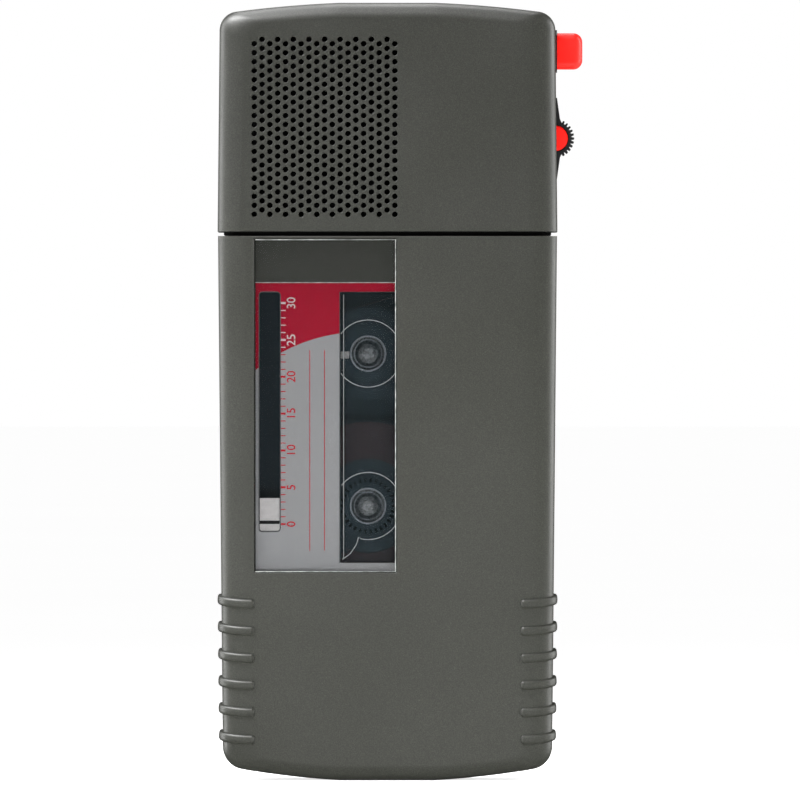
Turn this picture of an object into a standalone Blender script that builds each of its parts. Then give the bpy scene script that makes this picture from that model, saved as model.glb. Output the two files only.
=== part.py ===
"""A hand-held dictation machine that takes an index cassette, as an assembly of separate parts.

It stands upright on its lower end: +X is its right side, -Y its front and +Z its top.
The origin is the middle of the small flat under the lower end. Every size below is in
millimetres, and MM turns it into Blender's metres when an object is made.
"""
import math

import bmesh
import bpy
from mathutils import Matrix, Vector

MM = 0.001

# Body: height, depth and the outline seen from the front.
HEIGHT = 132.0
FRONT, BACK = -12.0, 12.0
SEAM_Y = -4.0              # the front and rear covers meet here
SEAM_GAP = 0.3
HALF_WIDTH = 28.85         # at the groove, the widest place
TAPER = 0.010              # half width lost for each millimetre above or below the groove
GROOVE_LOW, GROOVE_HIGH = 92.4, 93.15
WALL = 1.8
TOP_END = (204.0, 3.2)     # radius of the arched end, radius of its corners
FOOT_END = (155.0, 3.9)
FOOT_FLAT = 16.5           # width of the flat that the machine stands on
FRONT_EDGE = (5.0, 2.6, 2.6)   # rounding of the front edges: at the sides, at the ends, in depth
BACK_EDGE = (3.0, 2.6, 3.0)

# Cassette lid and its hinge.
HINGE_Y, HINGE_Z = -3.5, 2.7
HINGE_PIN_RADIUS = 0.6
HINGE_EYE_RADIUS = 1.25
RUNNING_GAP = 0.10
RIB_COUNT, RIB_PITCH, RIB_HEIGHT, RIB_RISE = 6, 4.61, 1.25, 0.65
RIB_TOP, RIB_INNER_X = 30.7, 22.6
PANE = (-22.65, 1.6, 35.2, 92.0)      # recess for the pane: left, right, bottom, top
PANE_RIM = 0.25
LEDGE_Z = 84.4                        # the pane is backed by plastic above this height
PANE_FLOOR_Y, LID_INNER_Y = -10.8, -10.0

# Cassette, carried by the lid.
CASSETTE = (-23.8, 18.2, 29.7, 89.3)  # left, right, bottom, top
CASSETTE_FRONT, CASSETTE_MIDDLE, CASSETTE_BACK = -9.6, -5.6, -1.6
CASSETTE_WALL = 1.0
HUB_X, UPPER_HUB_Z, LOWER_HUB_Z = -3.3, 72.45, 46.57
HUB_BORE, HUB_RADIUS, PACK_RADIUS = 2.9, 7.9, 14.3
TAPE = (-7.4, -3.6)                   # front and rear edge of the tape
TAPE_THICKNESS = 0.12
GUIDE_X, GUIDE_RADIUS = 15.2, 0.8
GUIDE_UPPER_Z, GUIDE_LOWER_Z = 85.2, 33.4
CLEAR_WINDOW = (-8.1, 9.0, 36.9, 82.9)
INDEX_SLOT = (-21.8, -18.2, 42.2, 82.9)
MOUTH = (11.5, 19.0, 43.5, 68.0)

# Tape drive behind the cassette.
DECK_Y, DECK_THICKNESS = 0.0, 1.0
GEAR_MODULE = 0.42
SPINDLE_TEETH, IDLER_TEETH = 24, 16
REEL_TEETH, INDEX_TEETH = 25, 16
SPINDLE_RADIUS = 1.68
CAPSTAN_X, CAPSTAN_Z, CAPSTAN_RADIUS = GUIDE_X, 50.0, 0.75
FLYWHEEL_RADIUS = 11.0
MOTOR_X, MOTOR_Z, MOTOR_RADIUS = 14.0, 78.5, 8.5
MOTOR_PULLEY_RADIUS = 1.6
BELT_THICKNESS, BELT_GAP = 0.6, 0.25
HEAD_TRAVEL = 2.5
PINCH_RADIUS = 2.6
PINCH_X = 21.5

# Controls on the right side, seen from the front.
CONTROL_Y = 1.2
BUTTON_Z, BUTTON_HEIGHT, BUTTON_DEPTH, BUTTON_END_X = 123.95, 6.1, 6.7, 33.17
SLIDE_X, SLIDE_Z, SLIDE_RADIUS, SLIDE_DEPTH = 28.5, 109.1, 3.28, 7.0
SLIDE_TEETH = 29
SLIDE_TRAVEL = (-4.0, 3.0)
INLAY_RADIUS = 2.2

# Upper housing.
SPEAKER_X, SPEAKER_Z, SPEAKER_RADIUS = -10.7, 110.9, 14.0
VOLUME_X, VOLUME_Y, VOLUME_Z, VOLUME_RADIUS, VOLUME_WIDTH = -20.6, 6.0, 104.0, 8.0, 2.4
TOP_ROW_Y = 3.0
MICROPHONE_X, LAMP_X, SOCKET_X = -14.0, 2.0, 11.5

# Fasteners and batteries.
SCREW_RADIUS, SCREW_HEAD_RADIUS = 1.0, 2.2
UPPER_SCREWS = ((-22.5, 123.5), (22.5, 117.9))
LOWER_SCREWS = ((-22.3, 34.5), (22.3, 34.5))
CELL_RADIUS, CELL_LENGTH, CELL_Y = 5.25, 44.5, 5.1
CELL_HEIGHTS = (8.9, 20.1)
DOOR_HALF_WIDTH, DOOR_TOP, DOOR_INNER_Y = 23.0, 28.3, 10.8

# Colour, roughness and metallic value of each kind of surface.
FINISHES = {
    "shell": ((0.085, 0.087, 0.080), 0.55, 0.0),
    "black": ((0.012, 0.012, 0.012), 0.50, 0.0),
    "red": ((0.80, 0.030, 0.015), 0.35, 0.0),
    "smoked": ((0.030, 0.035, 0.036), 0.10, 0.0),
    "clear": ((0.060, 0.080, 0.085), 0.10, 0.0),
    "label": ((0.290, 0.290, 0.300), 0.40, 0.0),
    "pale": ((0.420, 0.420, 0.410), 0.40, 0.0),
    "steel": ((0.450, 0.450, 0.460), 0.30, 1.0),
    "brass": ((0.600, 0.420, 0.160), 0.35, 1.0),
    "rubber": ((0.015, 0.015, 0.016), 0.80, 0.0),
    "tape": ((0.060, 0.030, 0.022), 0.40, 0.0),
    "board": ((0.020, 0.110, 0.040), 0.50, 0.0),
    "paper": ((0.020, 0.020, 0.022), 0.85, 0.0),
    "cell": ((0.050, 0.080, 0.300), 0.35, 0.2),
}


# Making objects -----------------------------------------------------------------------

def clear_scene():
    for obj in list(bpy.context.scene.objects):
        bpy.data.objects.remove(obj, do_unlink=True)


def add_object(name, bm, pivot=(0.0, 0.0, 0.0)):
    """Make an object from a bmesh drawn in millimetres, with its origin at the pivot."""
    bmesh.ops.recalc_face_normals(bm, faces=bm.faces)
    bm.transform(Matrix.Scale(MM, 4) @ Matrix.Translation(-Vector(pivot)))
    mesh = bpy.data.meshes.new(name)
    bm.to_mesh(mesh)
    bm.free()
    mesh.shade_smooth()
    mesh.set_sharp_from_angle(angle=math.radians(35.0))
    obj = bpy.data.objects.new(name, mesh)
    obj.location = Vector(pivot) * MM
    bpy.context.scene.collection.objects.link(obj)
    return obj


def add_part(name, bm, finish, pivot=(0.0, 0.0, 0.0)):
    obj = add_object(name, bm, pivot)
    colour, roughness, metallic = FINISHES[finish]
    material = bpy.data.materials.new(name)
    material.use_nodes = True
    shader = material.node_tree.nodes["Principled BSDF"]
    shader.inputs["Base Color"].default_value = (*colour, 1.0)
    shader.inputs["Roughness"].default_value = roughness
    shader.inputs["Metallic"].default_value = metallic
    obj.data.materials.append(material)
    return obj


def combine(target, operation, shapes):
    """Add one Boolean modifier for each bmesh in shapes."""
    for number, bm in enumerate(shapes):
        tool = add_object(f"{target.name}_{operation.lower()}_{number}", bm)
        tool.hide_render = True
        tool.display_type = "WIRE"
        modifier = target.modifiers.new(tool.name, "BOOLEAN")
        modifier.operation = operation
        modifier.solver = "EXACT"
        modifier.object = tool


def cut(target, *shapes):
    combine(target, "DIFFERENCE", shapes)


def fuse(target, *shapes):
    combine(target, "UNION", shapes)


def keep_inside(target, *shapes):
    combine(target, "INTERSECT", shapes)


# Outlines and simple solids ------------------------------------------------------------

def circle(centre, radius, steps=24, phase=0.0):
    return [(centre[0] + radius * math.cos(math.tau * step / steps + phase),
             centre[1] + radius * math.sin(math.tau * step / steps + phase))
            for step in range(steps)]


def rounded_rectangle(left, right, bottom, top, radius, steps=4):
    points = []
    corners = ((right - radius, bottom + radius, -90.0), (right - radius, top - radius, 0.0),
               (left + radius, top - radius, 90.0), (left + radius, bottom + radius, 180.0))
    for across, up, start in corners:
        for step in range(steps + 1):
            angle = math.radians(start + 90.0 * step / steps)
            points.append((across + radius * math.cos(angle), up + radius * math.sin(angle)))
    return points


def place(point, axis, along):
    """The 3-D point of a 2-D one drawn across an axis."""
    first, second = point
    return {"X": (along, first, second), "Y": (first, along, second),
            "Z": (first, second, along)}[axis]


def loft(loops):
    """A closed solid through loops that all have the same number of points."""
    bm = bmesh.new()
    rings = [[bm.verts.new(point) for point in loop] for loop in loops]
    for ring, following in zip(rings, rings[1:]):
        for index in range(len(ring)):
            after = (index + 1) % len(ring)
            bm.faces.new((ring[index], ring[after], following[after], following[index]))
    bm.faces.new(rings[0])
    bm.faces.new(rings[-1])
    return bm


def prism(outline, axis, low, high):
    return loft([[place(point, axis, along) for point in outline] for along in (low, high)])


def box(left, right, front, back, bottom, top):
    return prism([(left, bottom), (right, bottom), (right, top), (left, top)],
                 "Y", front, back)


def tube(outer, inner, axis, low, high):
    """A prism between two outlines with the same number of points."""
    bm = bmesh.new()
    rings = [[bm.verts.new(place(point, axis, along)) for point in outline]
             for outline, along in ((outer, low), (outer, high), (inner, high), (inner, low))]
    for ring, following in zip(rings, rings[1:] + rings[:1]):
        for index in range(len(ring)):
            after = (index + 1) % len(ring)
            bm.faces.new((ring[index], ring[after], following[after], following[index]))
    return bm


def turned(profile, axis, centre, steps=24):
    """Spin a closed profile of (radius, place along the axis) points round the axis."""
    bm = bmesh.new()
    columns = []
    for radius, along in profile:
        if radius == 0.0:
            columns.append([bm.verts.new(place(centre, axis, along))] * steps)
        else:
            ring = circle(centre, radius, steps)
            columns.append([bm.verts.new(place(point, axis, along)) for point in ring])
    for column, following in zip(columns, columns[1:] + columns[:1]):
        for step in range(steps):
            after = (step + 1) % steps
            corners = [column[step], column[after], following[after], following[step]]
            corners = list(dict.fromkeys(corners))
            if len(corners) > 2:
                bm.faces.new(corners)
    return bm


def cylinder(axis, centre, radius, low, high, steps=24):
    return prism(circle(centre, radius, steps), axis, low, high)


def gear_outline(centre, teeth, phase=0.0):
    """Tapered teeth, a little slim so that a pair runs with backlash."""
    pitch_radius = GEAR_MODULE * teeth / 2.0
    root, tip = pitch_radius - GEAR_MODULE, pitch_radius + 0.7 * GEAR_MODULE
    root_half, tip_half = 0.30 * math.tau / teeth, 0.13 * math.tau / teeth
    points = []
    for tooth in range(teeth):
        middle = phase + math.tau * tooth / teeth
        for radius, offset in ((root, -root_half), (tip, -tip_half), (tip, tip_half),
                               (root, root_half)):
            points.append((centre[0] + radius * math.cos(middle + offset),
                           centre[1] + radius * math.sin(middle + offset)))
    return points


def mesh_phases(driver, follower, driver_teeth, follower_teeth):
    """Where a tooth of each gear points, so that a tooth meets a gap between the centres."""
    towards = math.atan2(follower[1] - driver[1], follower[0] - driver[0])
    return towards, towards + math.pi + math.pi / follower_teeth


def belt_outline(small, small_radius, large, large_radius, steps=12):
    """A convex loop round two circles."""
    across, up = large[0] - small[0], large[1] - small[1]
    direction = math.atan2(up, across)
    lean = math.acos((small_radius - large_radius) / math.hypot(across, up))
    points = []
    for centre, radius, start, sweep in (
            (small, small_radius, direction + lean, math.tau - 2.0 * lean),
            (large, large_radius, direction - lean, 2.0 * lean)):
        for step in range(steps + 1):
            angle = start + sweep * step / steps
            points.append((centre[0] + radius * math.cos(angle),
                           centre[1] + radius * math.sin(angle)))
    return points


# The outer shape of the body ------------------------------------------------------------

def half_width(height):
    return HALF_WIDTH - TAPER * abs(height - GROOVE_HIGH)


def end_curve(end, side_inset, end_inset, flat):
    """Half of an arched end: (x, rise) from the middle flat's edge round to the side."""
    radius, corner = end
    width = HALF_WIDTH - side_inset
    arc = radius - end_inset
    flat_rise = radius - math.sqrt(radius ** 2 - (flat / 2.0) ** 2)
    corner_x = width - corner
    corner_up = math.sqrt((arc - corner) ** 2 - corner_x ** 2)
    lean = math.atan2(corner_x, corner_up)
    first = math.asin(flat / 2.0 / arc)
    points = []
    for step in range(5):
        angle = first + (lean - first) * step / 4.0
        points.append((arc * math.sin(angle), radius - arc * math.cos(angle) - flat_rise))
    for step in range(1, 5):
        angle = lean + (math.pi / 2.0 - lean) * step / 4.0
        points.append((corner_x + corner * math.sin(angle),
                       radius - corner_up - corner * math.cos(angle) - flat_rise))
    return points


def body_outline(upper, side_inset, end_inset, seam_height):
    """The outline of the upper or lower half, open at the groove, as (x, z) points."""
    if upper:
        half = [(x, HEIGHT - rise) for x, rise in end_curve(TOP_END, side_inset, end_inset, 16.5)]
    else:
        half = [(x, rise) for x, rise in end_curve(FOOT_END, side_inset, end_inset, FOOT_FLAT)]
    half.append((HALF_WIDTH - side_inset, seam_height))
    loop = half[::-1] + [(-x, z) for x, z in half]
    return [(x * half_width(z) / HALF_WIDTH, z) for x, z in loop]


def edge_layers(edge, plane, inward, grow=0.0):
    """(y, side inset, end inset) from a rounded edge's outer plane inwards."""
    side, end, depth = edge
    layers = []
    for step in range(5):
        angle = math.pi / 2.0 * step / 4.0
        layers.append((plane + inward * (depth * (1.0 - math.cos(angle)) - grow),
                       side * (1.0 - math.sin(angle)) - grow,
                       end * (1.0 - math.sin(angle)) - grow))
    return layers


def body_solid(upper, layers, seam_height):
    return loft([[(x, y, z) for x, z in body_outline(upper, side, end, seam_height)]
                 for y, side, end in layers])


def front_solid(upper, seam_height, grow=0.0):
    layers = edge_layers(FRONT_EDGE, FRONT, 1.0, grow)
    return body_solid(upper, layers + [(SEAM_Y - SEAM_GAP / 2.0, -grow, -grow)], seam_height)


def back_solid(upper, seam_height):
    layers = edge_layers(BACK_EDGE, BACK, -1.0)
    return body_solid(upper, layers + [(SEAM_Y + SEAM_GAP / 2.0, 0.0, 0.0)], seam_height)


def cavity(upper, front, back, open_end):
    """The hollow inside a cover, running out past its open side and past the groove."""
    return body_solid(upper, [(front, WALL + 1.0, WALL + 0.6), (front + 1.2, WALL, WALL),
                              (back - 1.2, WALL, WALL), (back, WALL + 1.0, WALL + 0.6)],
                      open_end)


# Covers -------------------------------------------------------------------------------

def screw_boss(centre, radius, front, back):
    return cylinder("Y", centre, radius, front, back, 16)


def make_upper_front_cover():
    cover = add_part("upper_front_cover", front_solid(True, GROOVE_HIGH), "shell")
    cut(cover, cavity(True, FRONT + WALL, 4.0, GROOVE_HIGH - 4.0))
    for centre in UPPER_SCREWS:
        fuse(cover, screw_boss(centre, 2.4, FRONT + WALL - 0.4, SEAM_Y - 0.3))
        cut(cover, cylinder("Y", centre, SCREW_RADIUS + RUNNING_GAP, FRONT + 2.6, 0.0, 12))


def control_opening(margin):
    """The plain opening in the right wall that the slide's bezel fills."""
    return box(26.0, 30.0, CONTROL_Y - 4.1 - margin, CONTROL_Y + 4.4 + margin,
               SLIDE_Z - 11.6 - margin, SLIDE_Z + 10.4 + margin)


def collar_outline(margin):
    half_depth, half_height = BUTTON_DEPTH / 2.0 + margin, BUTTON_HEIGHT / 2.0 + margin
    return rounded_rectangle(CONTROL_Y - half_depth, CONTROL_Y + half_depth,
                             BUTTON_Z - half_height, BUTTON_Z + half_height,
                             1.2 + margin, 3)


def make_upper_rear_cover():
    cover = add_part("upper_rear_cover", back_solid(True, GROOVE_HIGH), "shell")
    cut(cover, cavity(True, -8.0, BACK - WALL, GROOVE_HIGH - 4.0))
    for centre in UPPER_SCREWS:
        fuse(cover, screw_boss(centre, 2.9, SEAM_Y + 0.3, BACK - WALL + 0.4))
        cut(cover, cylinder("Y", centre, SCREW_RADIUS + RUNNING_GAP, -6.0, 8.0, 12),
            cylinder("Y", centre, SCREW_HEAD_RADIUS + RUNNING_GAP, 6.0, 14.0, 16))
    cut(cover, control_opening(0.2), prism(collar_outline(0.75), "X", 26.0, 30.0),
        box(-30.0, -26.0, VOLUME_Y - 1.6, VOLUME_Y + 1.6, VOLUME_Z - 5.6, VOLUME_Z + 5.6),
        cylinder("Z", (MICROPHONE_X, TOP_ROW_Y), 1.2, 125.0, 133.0, 12),
        cylinder("Z", (LAMP_X, TOP_ROW_Y), 1.45, 125.0, 133.0, 12),
        cylinder("Z", (SOCKET_X, TOP_ROW_Y), 3.0, 125.0, 133.0, 20))


def hinge_eye(left, right):
    return cylinder("X", (HINGE_Y, HINGE_Z), HINGE_EYE_RADIUS, left, right, 16)


def hinge_hole():
    return cylinder("X", (HINGE_Y, HINGE_Z), HINGE_PIN_RADIUS + RUNNING_GAP, -25.4, 25.4, 16)


def make_lower_rear_cover():
    cover = add_part("lower_rear_cover", back_solid(False, GROOVE_LOW), "shell")
    cut(cover, cavity(False, -8.0, BACK - WALL, GROOVE_LOW + 4.0),
        box(-30.0, 30.0, -8.0, HINGE_Y + 1.1, -1.0, 4.6))
    for side in (-1.0, 1.0):
        inner, outer = sorted((side * 19.7, side * 24.3))
        cut(cover, box(inner, outer, -8.0, HINGE_Y + 1.6, -1.0, 4.6))
        inner, outer = sorted((side * 14.0, side * 18.0))
        fuse(cover, hinge_eye(inner, outer),
             box(inner, outer, HINGE_Y, HINGE_Y + 1.6, HINGE_Z - 0.5, HINGE_Z + 1.25),
             box(inner, outer, HINGE_Y + 1.15, HINGE_Y + 2.4, 0.6, HINGE_Z + 1.25))
    cut(cover, hinge_hole())
    for centre in LOWER_SCREWS:
        fuse(cover, screw_boss(centre, 2.9, DECK_Y + DECK_THICKNESS + 0.3, BACK - WALL + 0.4))
        cut(cover, cylinder("Y", centre, SCREW_RADIUS + RUNNING_GAP, -2.0, 9.0, 12),
            cylinder("Y", centre, SCREW_HEAD_RADIUS + RUNNING_GAP, 6.0, 14.0, 16))
    cut(cover, box(-DOOR_HALF_WIDTH - 0.3, DOOR_HALF_WIDTH + 0.3, 9.0, 14.0, -1.0,
                   DOOR_TOP + 0.3),
        box(-30.0, -26.0, 4.8, 9.2, 76.5, 88.3))


def rib_slabs():
    """Cutter-like bars, one for each rib on each side, with a rounded inner end."""
    for side in (-1.0, 1.0):
        for number in range(RIB_COUNT):
            top = RIB_TOP - number * RIB_PITCH
            left, right = sorted((side * RIB_INNER_X, side * 31.0))
            yield rounded_rectangle(left, right, top - RIB_HEIGHT, top, 0.6, 2)


def make_rib_shape(number, outline):
    """One rib: the lid's outer shape, grown, inside the rib's bar."""
    rib = add_object(f"rib_{number}", front_solid(False, 40.0, RIB_RISE))
    keep_inside(rib, prism(outline, "Y", -14.0, SEAM_Y - SEAM_GAP))
    rib.hide_render = True
    rib.display_type = "WIRE"
    return rib


def add_ribs(cover):
    for number, outline in enumerate(rib_slabs()):
        modifier = cover.modifiers.new(f"rib_{number}", "BOOLEAN")
        modifier.operation = "UNION"
        modifier.object = make_rib_shape(number, outline)


def make_cassette_lid():
    hinge = (0.0, HINGE_Y, HINGE_Z)
    lid = add_part("cassette_lid", front_solid(False, GROOVE_LOW), "shell", hinge)
    add_ribs(lid)
    cut(lid, cavity(False, FRONT + WALL + 0.2, 4.0, GROOVE_LOW - WALL))
    cut(lid, box(-24.6, 24.6, HINGE_Y - 1.7, 0.0, -1.0, HINGE_Z + 2.3))
    left, right, bottom, top = PANE
    for side in (-1.0, 1.0):
        inner, outer = sorted((side * 20.0, side * 24.0))
        fuse(lid, hinge_eye(inner, outer),
             box(inner, outer, LID_INNER_Y - 0.4, HINGE_Y, HINGE_Z - 1.15, HINGE_Z + 1.15))
    cut(lid, hinge_hole(),
        box(left, right, -14.0, PANE_FLOOR_Y, bottom, top),
        box(left + PANE_RIM, right - PANE_RIM, -14.0, -8.0, bottom + PANE_RIM, LEDGE_Z))
    rails = ((-25.2, -24.1, -22.9, 31.0, 86.0), (19.6, 18.5, 17.3, 31.0, 39.0),
             (19.6, 18.5, 17.3, 79.0, 88.0))
    for outside, inside, lip, low, high in rails:
        fuse(lid, box(min(outside, inside), max(outside, inside), LID_INNER_Y - 0.4, -0.6,
                      low, high),
             box(min(outside, lip), max(outside, lip), CASSETTE_BACK + 0.3, -0.6, low, high))
    fuse(lid, box(-27.6, -25.6, -7.0, -5.6, 88.2, 89.4),
         box(-26.4, -25.6, -7.0, -2.0, 88.2, 89.4))


def make_window_pane():
    left, right, bottom, top = PANE
    add_part("window_pane", prism(rounded_rectangle(left + 0.12, right - 0.12, bottom + 0.12,
                                                    top - 0.12, 0.4, 2),
                                  "Y", FRONT + 0.1, PANE_FLOOR_Y - 0.1), "smoked",
             (0.0, HINGE_Y, HINGE_Z))


def make_divider_plate():
    plate = add_part("divider_plate",
                     prism(rounded_rectangle(-27.8, 27.8, FRONT + 1.0, BACK - 1.0, 2.6, 4),
                           "Z", GROOVE_LOW + 0.2, GROOVE_HIGH - 0.15), "black")
    cut(plate, box(-6.0, 6.0, 4.0, 8.0, 90.0, 95.0))


# Controls -----------------------------------------------------------------------------

def make_record_button():
    radius = 1.7
    layers = [(27.2, 0.0), (BUTTON_END_X - radius, 0.0)]
    for step in range(1, 5):
        angle = math.pi / 2.0 * step / 4.0
        layers.append((BUTTON_END_X - radius + radius * math.sin(angle),
                       radius * (1.0 - math.cos(angle))))
    loops = []
    for x, inset in layers:
        half_depth, half_height = BUTTON_DEPTH / 2.0 - inset, BUTTON_HEIGHT / 2.0 - inset
        outline = rounded_rectangle(CONTROL_Y - half_depth, CONTROL_Y + half_depth,
                                    BUTTON_Z - half_height, BUTTON_Z + half_height, 1.2, 3)
        loops.append([place(point, "X", x) for point in outline])
    button = add_part("record_button", loft(loops), "red", (27.2, CONTROL_Y, BUTTON_Z))
    fuse(button, box(23.5, 27.8, CONTROL_Y - 1.5, CONTROL_Y + 1.5, BUTTON_Z - 1.5,
                     BUTTON_Z + 1.5))


def make_button_collar():
    outer, inner = collar_outline(0.55), collar_outline(0.15)
    add_part("button_collar", tube(outer, inner, "X", 26.9, 28.85), "black")


def make_side_bezel():
    bezel = add_part("side_bezel", control_opening(0.0), "black")
    keep_inside(bezel, box(26.9, 28.4, -10.0, 10.0, 90.0, 130.0))
    cut(bezel, box(24.0, 30.0, CONTROL_Y - 1.5, CONTROL_Y + 1.5,
                   SLIDE_Z - 2.4 + SLIDE_TRAVEL[0], SLIDE_Z + 2.4 + SLIDE_TRAVEL[1]))


def thumb_outline():
    """Side view of the slide: a toothed half drum between two low ramps."""
    base_x, tail_x = SLIDE_X + 0.1, SLIDE_X + 0.35
    ramp_x = SLIDE_X + 0.85
    points = [(base_x, SLIDE_Z - 6.9), (tail_x, SLIDE_Z - 6.9), (ramp_x, SLIDE_Z - 3.3)]
    for half_step in range(-11, 12):
        angle = half_step * math.pi / SLIDE_TEETH
        radius = SLIDE_RADIUS - (0.4 if half_step % 2 else 0.0)
        points.append((SLIDE_X + radius * math.cos(angle),
                       SLIDE_Z + radius * math.sin(angle)))
    points += [(ramp_x, SLIDE_Z + 3.3), (tail_x, SLIDE_Z + 6.9), (base_x, SLIDE_Z + 6.9)]
    return points


def make_slide():
    pivot = (SLIDE_X, CONTROL_Y, SLIDE_Z)
    front, back = CONTROL_Y - SLIDE_DEPTH / 2.0, CONTROL_Y + SLIDE_DEPTH / 2.0
    thumb = add_part("slide_thumb", prism(thumb_outline(), "Y", front, back), "black", pivot)
    fuse(thumb, box(25.0, SLIDE_X + 0.5, CONTROL_Y - 1.1, CONTROL_Y + 1.1, SLIDE_Z - 2.0,
                    SLIDE_Z + 2.0))
    cut(thumb, cylinder("Y", (SLIDE_X, SLIDE_Z), INLAY_RADIUS + 0.12, front - 1.0,
                        front + 1.0, 20))
    inlay = add_part("slide_inlay", cylinder("Y", (SLIDE_X, SLIDE_Z), INLAY_RADIUS,
                                             front + 0.05, front + 0.85, 20), "red", pivot)
    keep_inside(inlay, box(SLIDE_X + 0.15, 40.0, -10.0, 10.0, 90.0, 130.0))


def make_switches():
    add_part("record_switch", box(16.0, 21.4, CONTROL_Y - 2.4, CONTROL_Y + 2.4,
                                  BUTTON_Z - 2.6, BUTTON_Z + 2.6), "black")
    add_part("slide_switch", box(19.0, 24.7, CONTROL_Y - 2.6, CONTROL_Y + 2.6,
                                 SLIDE_Z - 8.0, SLIDE_Z + 5.6), "black")


def make_volume_control():
    centre = (VOLUME_X, VOLUME_Z)
    front, back = VOLUME_Y - VOLUME_WIDTH / 2.0, VOLUME_Y + VOLUME_WIDTH / 2.0
    outline = []
    for step in range(48):
        angle = math.tau * step / 48
        radius = VOLUME_RADIUS - (0.35 if step % 2 else 0.0)
        outline.append((centre[0] + radius * math.cos(angle),
                        centre[1] + radius * math.sin(angle)))
    wheel = add_part("volume_wheel", prism(outline, "Y", front, back), "black",
                     (VOLUME_X, VOLUME_Y, VOLUME_Z))
    cut(wheel, cylinder("Y", centre, 1.0 + RUNNING_GAP, front - 1.0, back + 1.0, 16))
    profile = [(0.0, front), (1.0, front), (1.0, back + 0.3), (4.5, back + 0.3),
               (4.5, 9.9), (0.0, 9.9)]
    add_part("volume_control", turned(profile, "Y", centre, 20), "steel")


def make_lid_release():
    pivot = (-27.5, 7.0, 84.0)
    slide = add_part("lid_release", box(-28.55, -26.9, 5.0, 9.0, 80.0, 88.1), "shell", pivot)
    for number in range(4):
        low = 81.4 + 1.6 * number
        cut(slide, box(-30.0, -28.2, 4.0, 10.0, low, low + 0.7))
    fuse(slide, box(-27.2, -25.6, 5.4, 8.6, 82.0, 87.0),
         box(-26.4, -25.6, -3.0, 6.0, 85.4, 86.8))


# Sound and the top end ------------------------------------------------------------------

def make_speaker():
    centre = (SPEAKER_X, SPEAKER_Z)
    frame = [(12.8, -9.7), (SPEAKER_RADIUS, -9.7), (SPEAKER_RADIUS, -8.8), (13.3, -8.8),
             (7.0, -4.8), (7.0, -4.3), (2.6, -4.3), (2.6, -4.9), (6.4, -5.3), (12.8, -9.2)]
    cone = [(0.0, -7.6), (3.0, -7.0), (4.0, -6.4), (12.4, -9.5), (12.4, -9.9), (11.6, -9.9),
            (4.0, -6.9), (2.8, -7.6), (0.0, -8.2)]
    magnet = [(0.0, -5.5), (2.1, -5.5), (2.1, -4.0), (6.2, -4.0), (6.2, -1.2), (0.0, -1.2)]
    add_part("speaker_frame", turned(frame, "Y", centre), "steel")
    add_part("speaker_cone", turned(cone, "Y", centre), "paper")
    add_part("speaker_magnet", turned(magnet, "Y", centre, 20), "steel")


def make_top_row():
    microphone = [(0.0, 125.8), (3.0, 125.8), (3.0, 129.2), (0.0, 129.2)]
    lamp = [(0.0, 127.4), (1.3, 127.4), (1.3, 131.3), (0.8, 131.9), (0.0, 131.9)]
    socket = [(1.75, 121.0), (2.8, 121.0), (2.8, 131.3), (1.75, 131.3)]
    add_part("microphone", turned(microphone, "Z", (MICROPHONE_X, TOP_ROW_Y), 16), "steel")
    add_part("record_lamp", turned(lamp, "Z", (LAMP_X, TOP_ROW_Y), 12), "red")
    add_part("earphone_socket", turned(socket, "Z", (SOCKET_X, TOP_ROW_Y), 16), "steel")


# Tape deck ----------------------------------------------------------------------------

def spindle_gear_phases():
    return mesh_phases((HUB_X, LOWER_HUB_Z), idler_centre(), SPINDLE_TEETH, IDLER_TEETH)


def idler_centre():
    """The idler sits below and left of the lower spindle, one centre distance away."""
    distance = GEAR_MODULE * (SPINDLE_TEETH + IDLER_TEETH) / 2.0
    angle = math.radians(240.0)
    return (HUB_X + distance * math.cos(angle), LOWER_HUB_Z + distance * math.sin(angle))


def make_deck_plate():
    deck = add_part("deck_plate", box(-24.5, 25.5, DECK_Y, DECK_Y + DECK_THICKNESS, 29.2,
                                      GROOVE_LOW - 0.4), "steel")
    holes = [((HUB_X, UPPER_HUB_Z), 1.15), ((HUB_X, LOWER_HUB_Z), 1.15),
             (idler_centre(), 0.95), ((CAPSTAN_X, CAPSTAN_Z), 0.95), ((MOTOR_X, MOTOR_Z), 2.4)]
    holes += [(centre, SCREW_RADIUS + RUNNING_GAP) for centre in LOWER_SCREWS]
    for centre, radius in holes:
        cut(deck, cylinder("Y", centre, radius, -3.0, 4.0, 12))
    cut(deck, rounded_slot(19.0, 24.0, 70.0, 72.2), rounded_slot(19.0, 24.0, 45.0, 47.2))


def rounded_slot(left, right, bottom, top):
    return prism(rounded_rectangle(left, right, bottom, top, 0.9, 2), "Y", -3.0, 4.0)


def make_spindle(name, centre_z, phase):
    """A splined tip in front of the deck, a toothed flange, and a shaft through the deck."""
    centre = (HUB_X, centre_z)
    spindle = add_part(name, prism(gear_outline(centre, SPINDLE_TEETH, phase), "Y", -1.3, -0.3),
                       "pale", (HUB_X, 0.0, centre_z))
    tip = [(0.0, -7.4), (0.9, -7.3), (SPINDLE_RADIUS, -6.3), (SPINDLE_RADIUS, -0.8),
           (1.0, -0.8), (1.0, 2.4), (0.0, 2.4)]
    fuse(spindle, turned(tip, "Y", centre, 18))


def make_idler_gear(phase):
    centre = idler_centre()
    idler = add_part("idler_gear", prism(gear_outline(centre, IDLER_TEETH, phase), "Y", -1.3,
                                         -0.3), "pale", (centre[0], 0.0, centre[1]))
    shaft = [(0.0, -0.8), (0.8, -0.8), (0.8, 4.7), (3.4, 4.7), (3.0, 5.1), (3.0, 5.9),
             (3.4, 6.3), (0.0, 6.3)]
    fuse(idler, turned(shaft, "Y", centre, 20))


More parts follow.
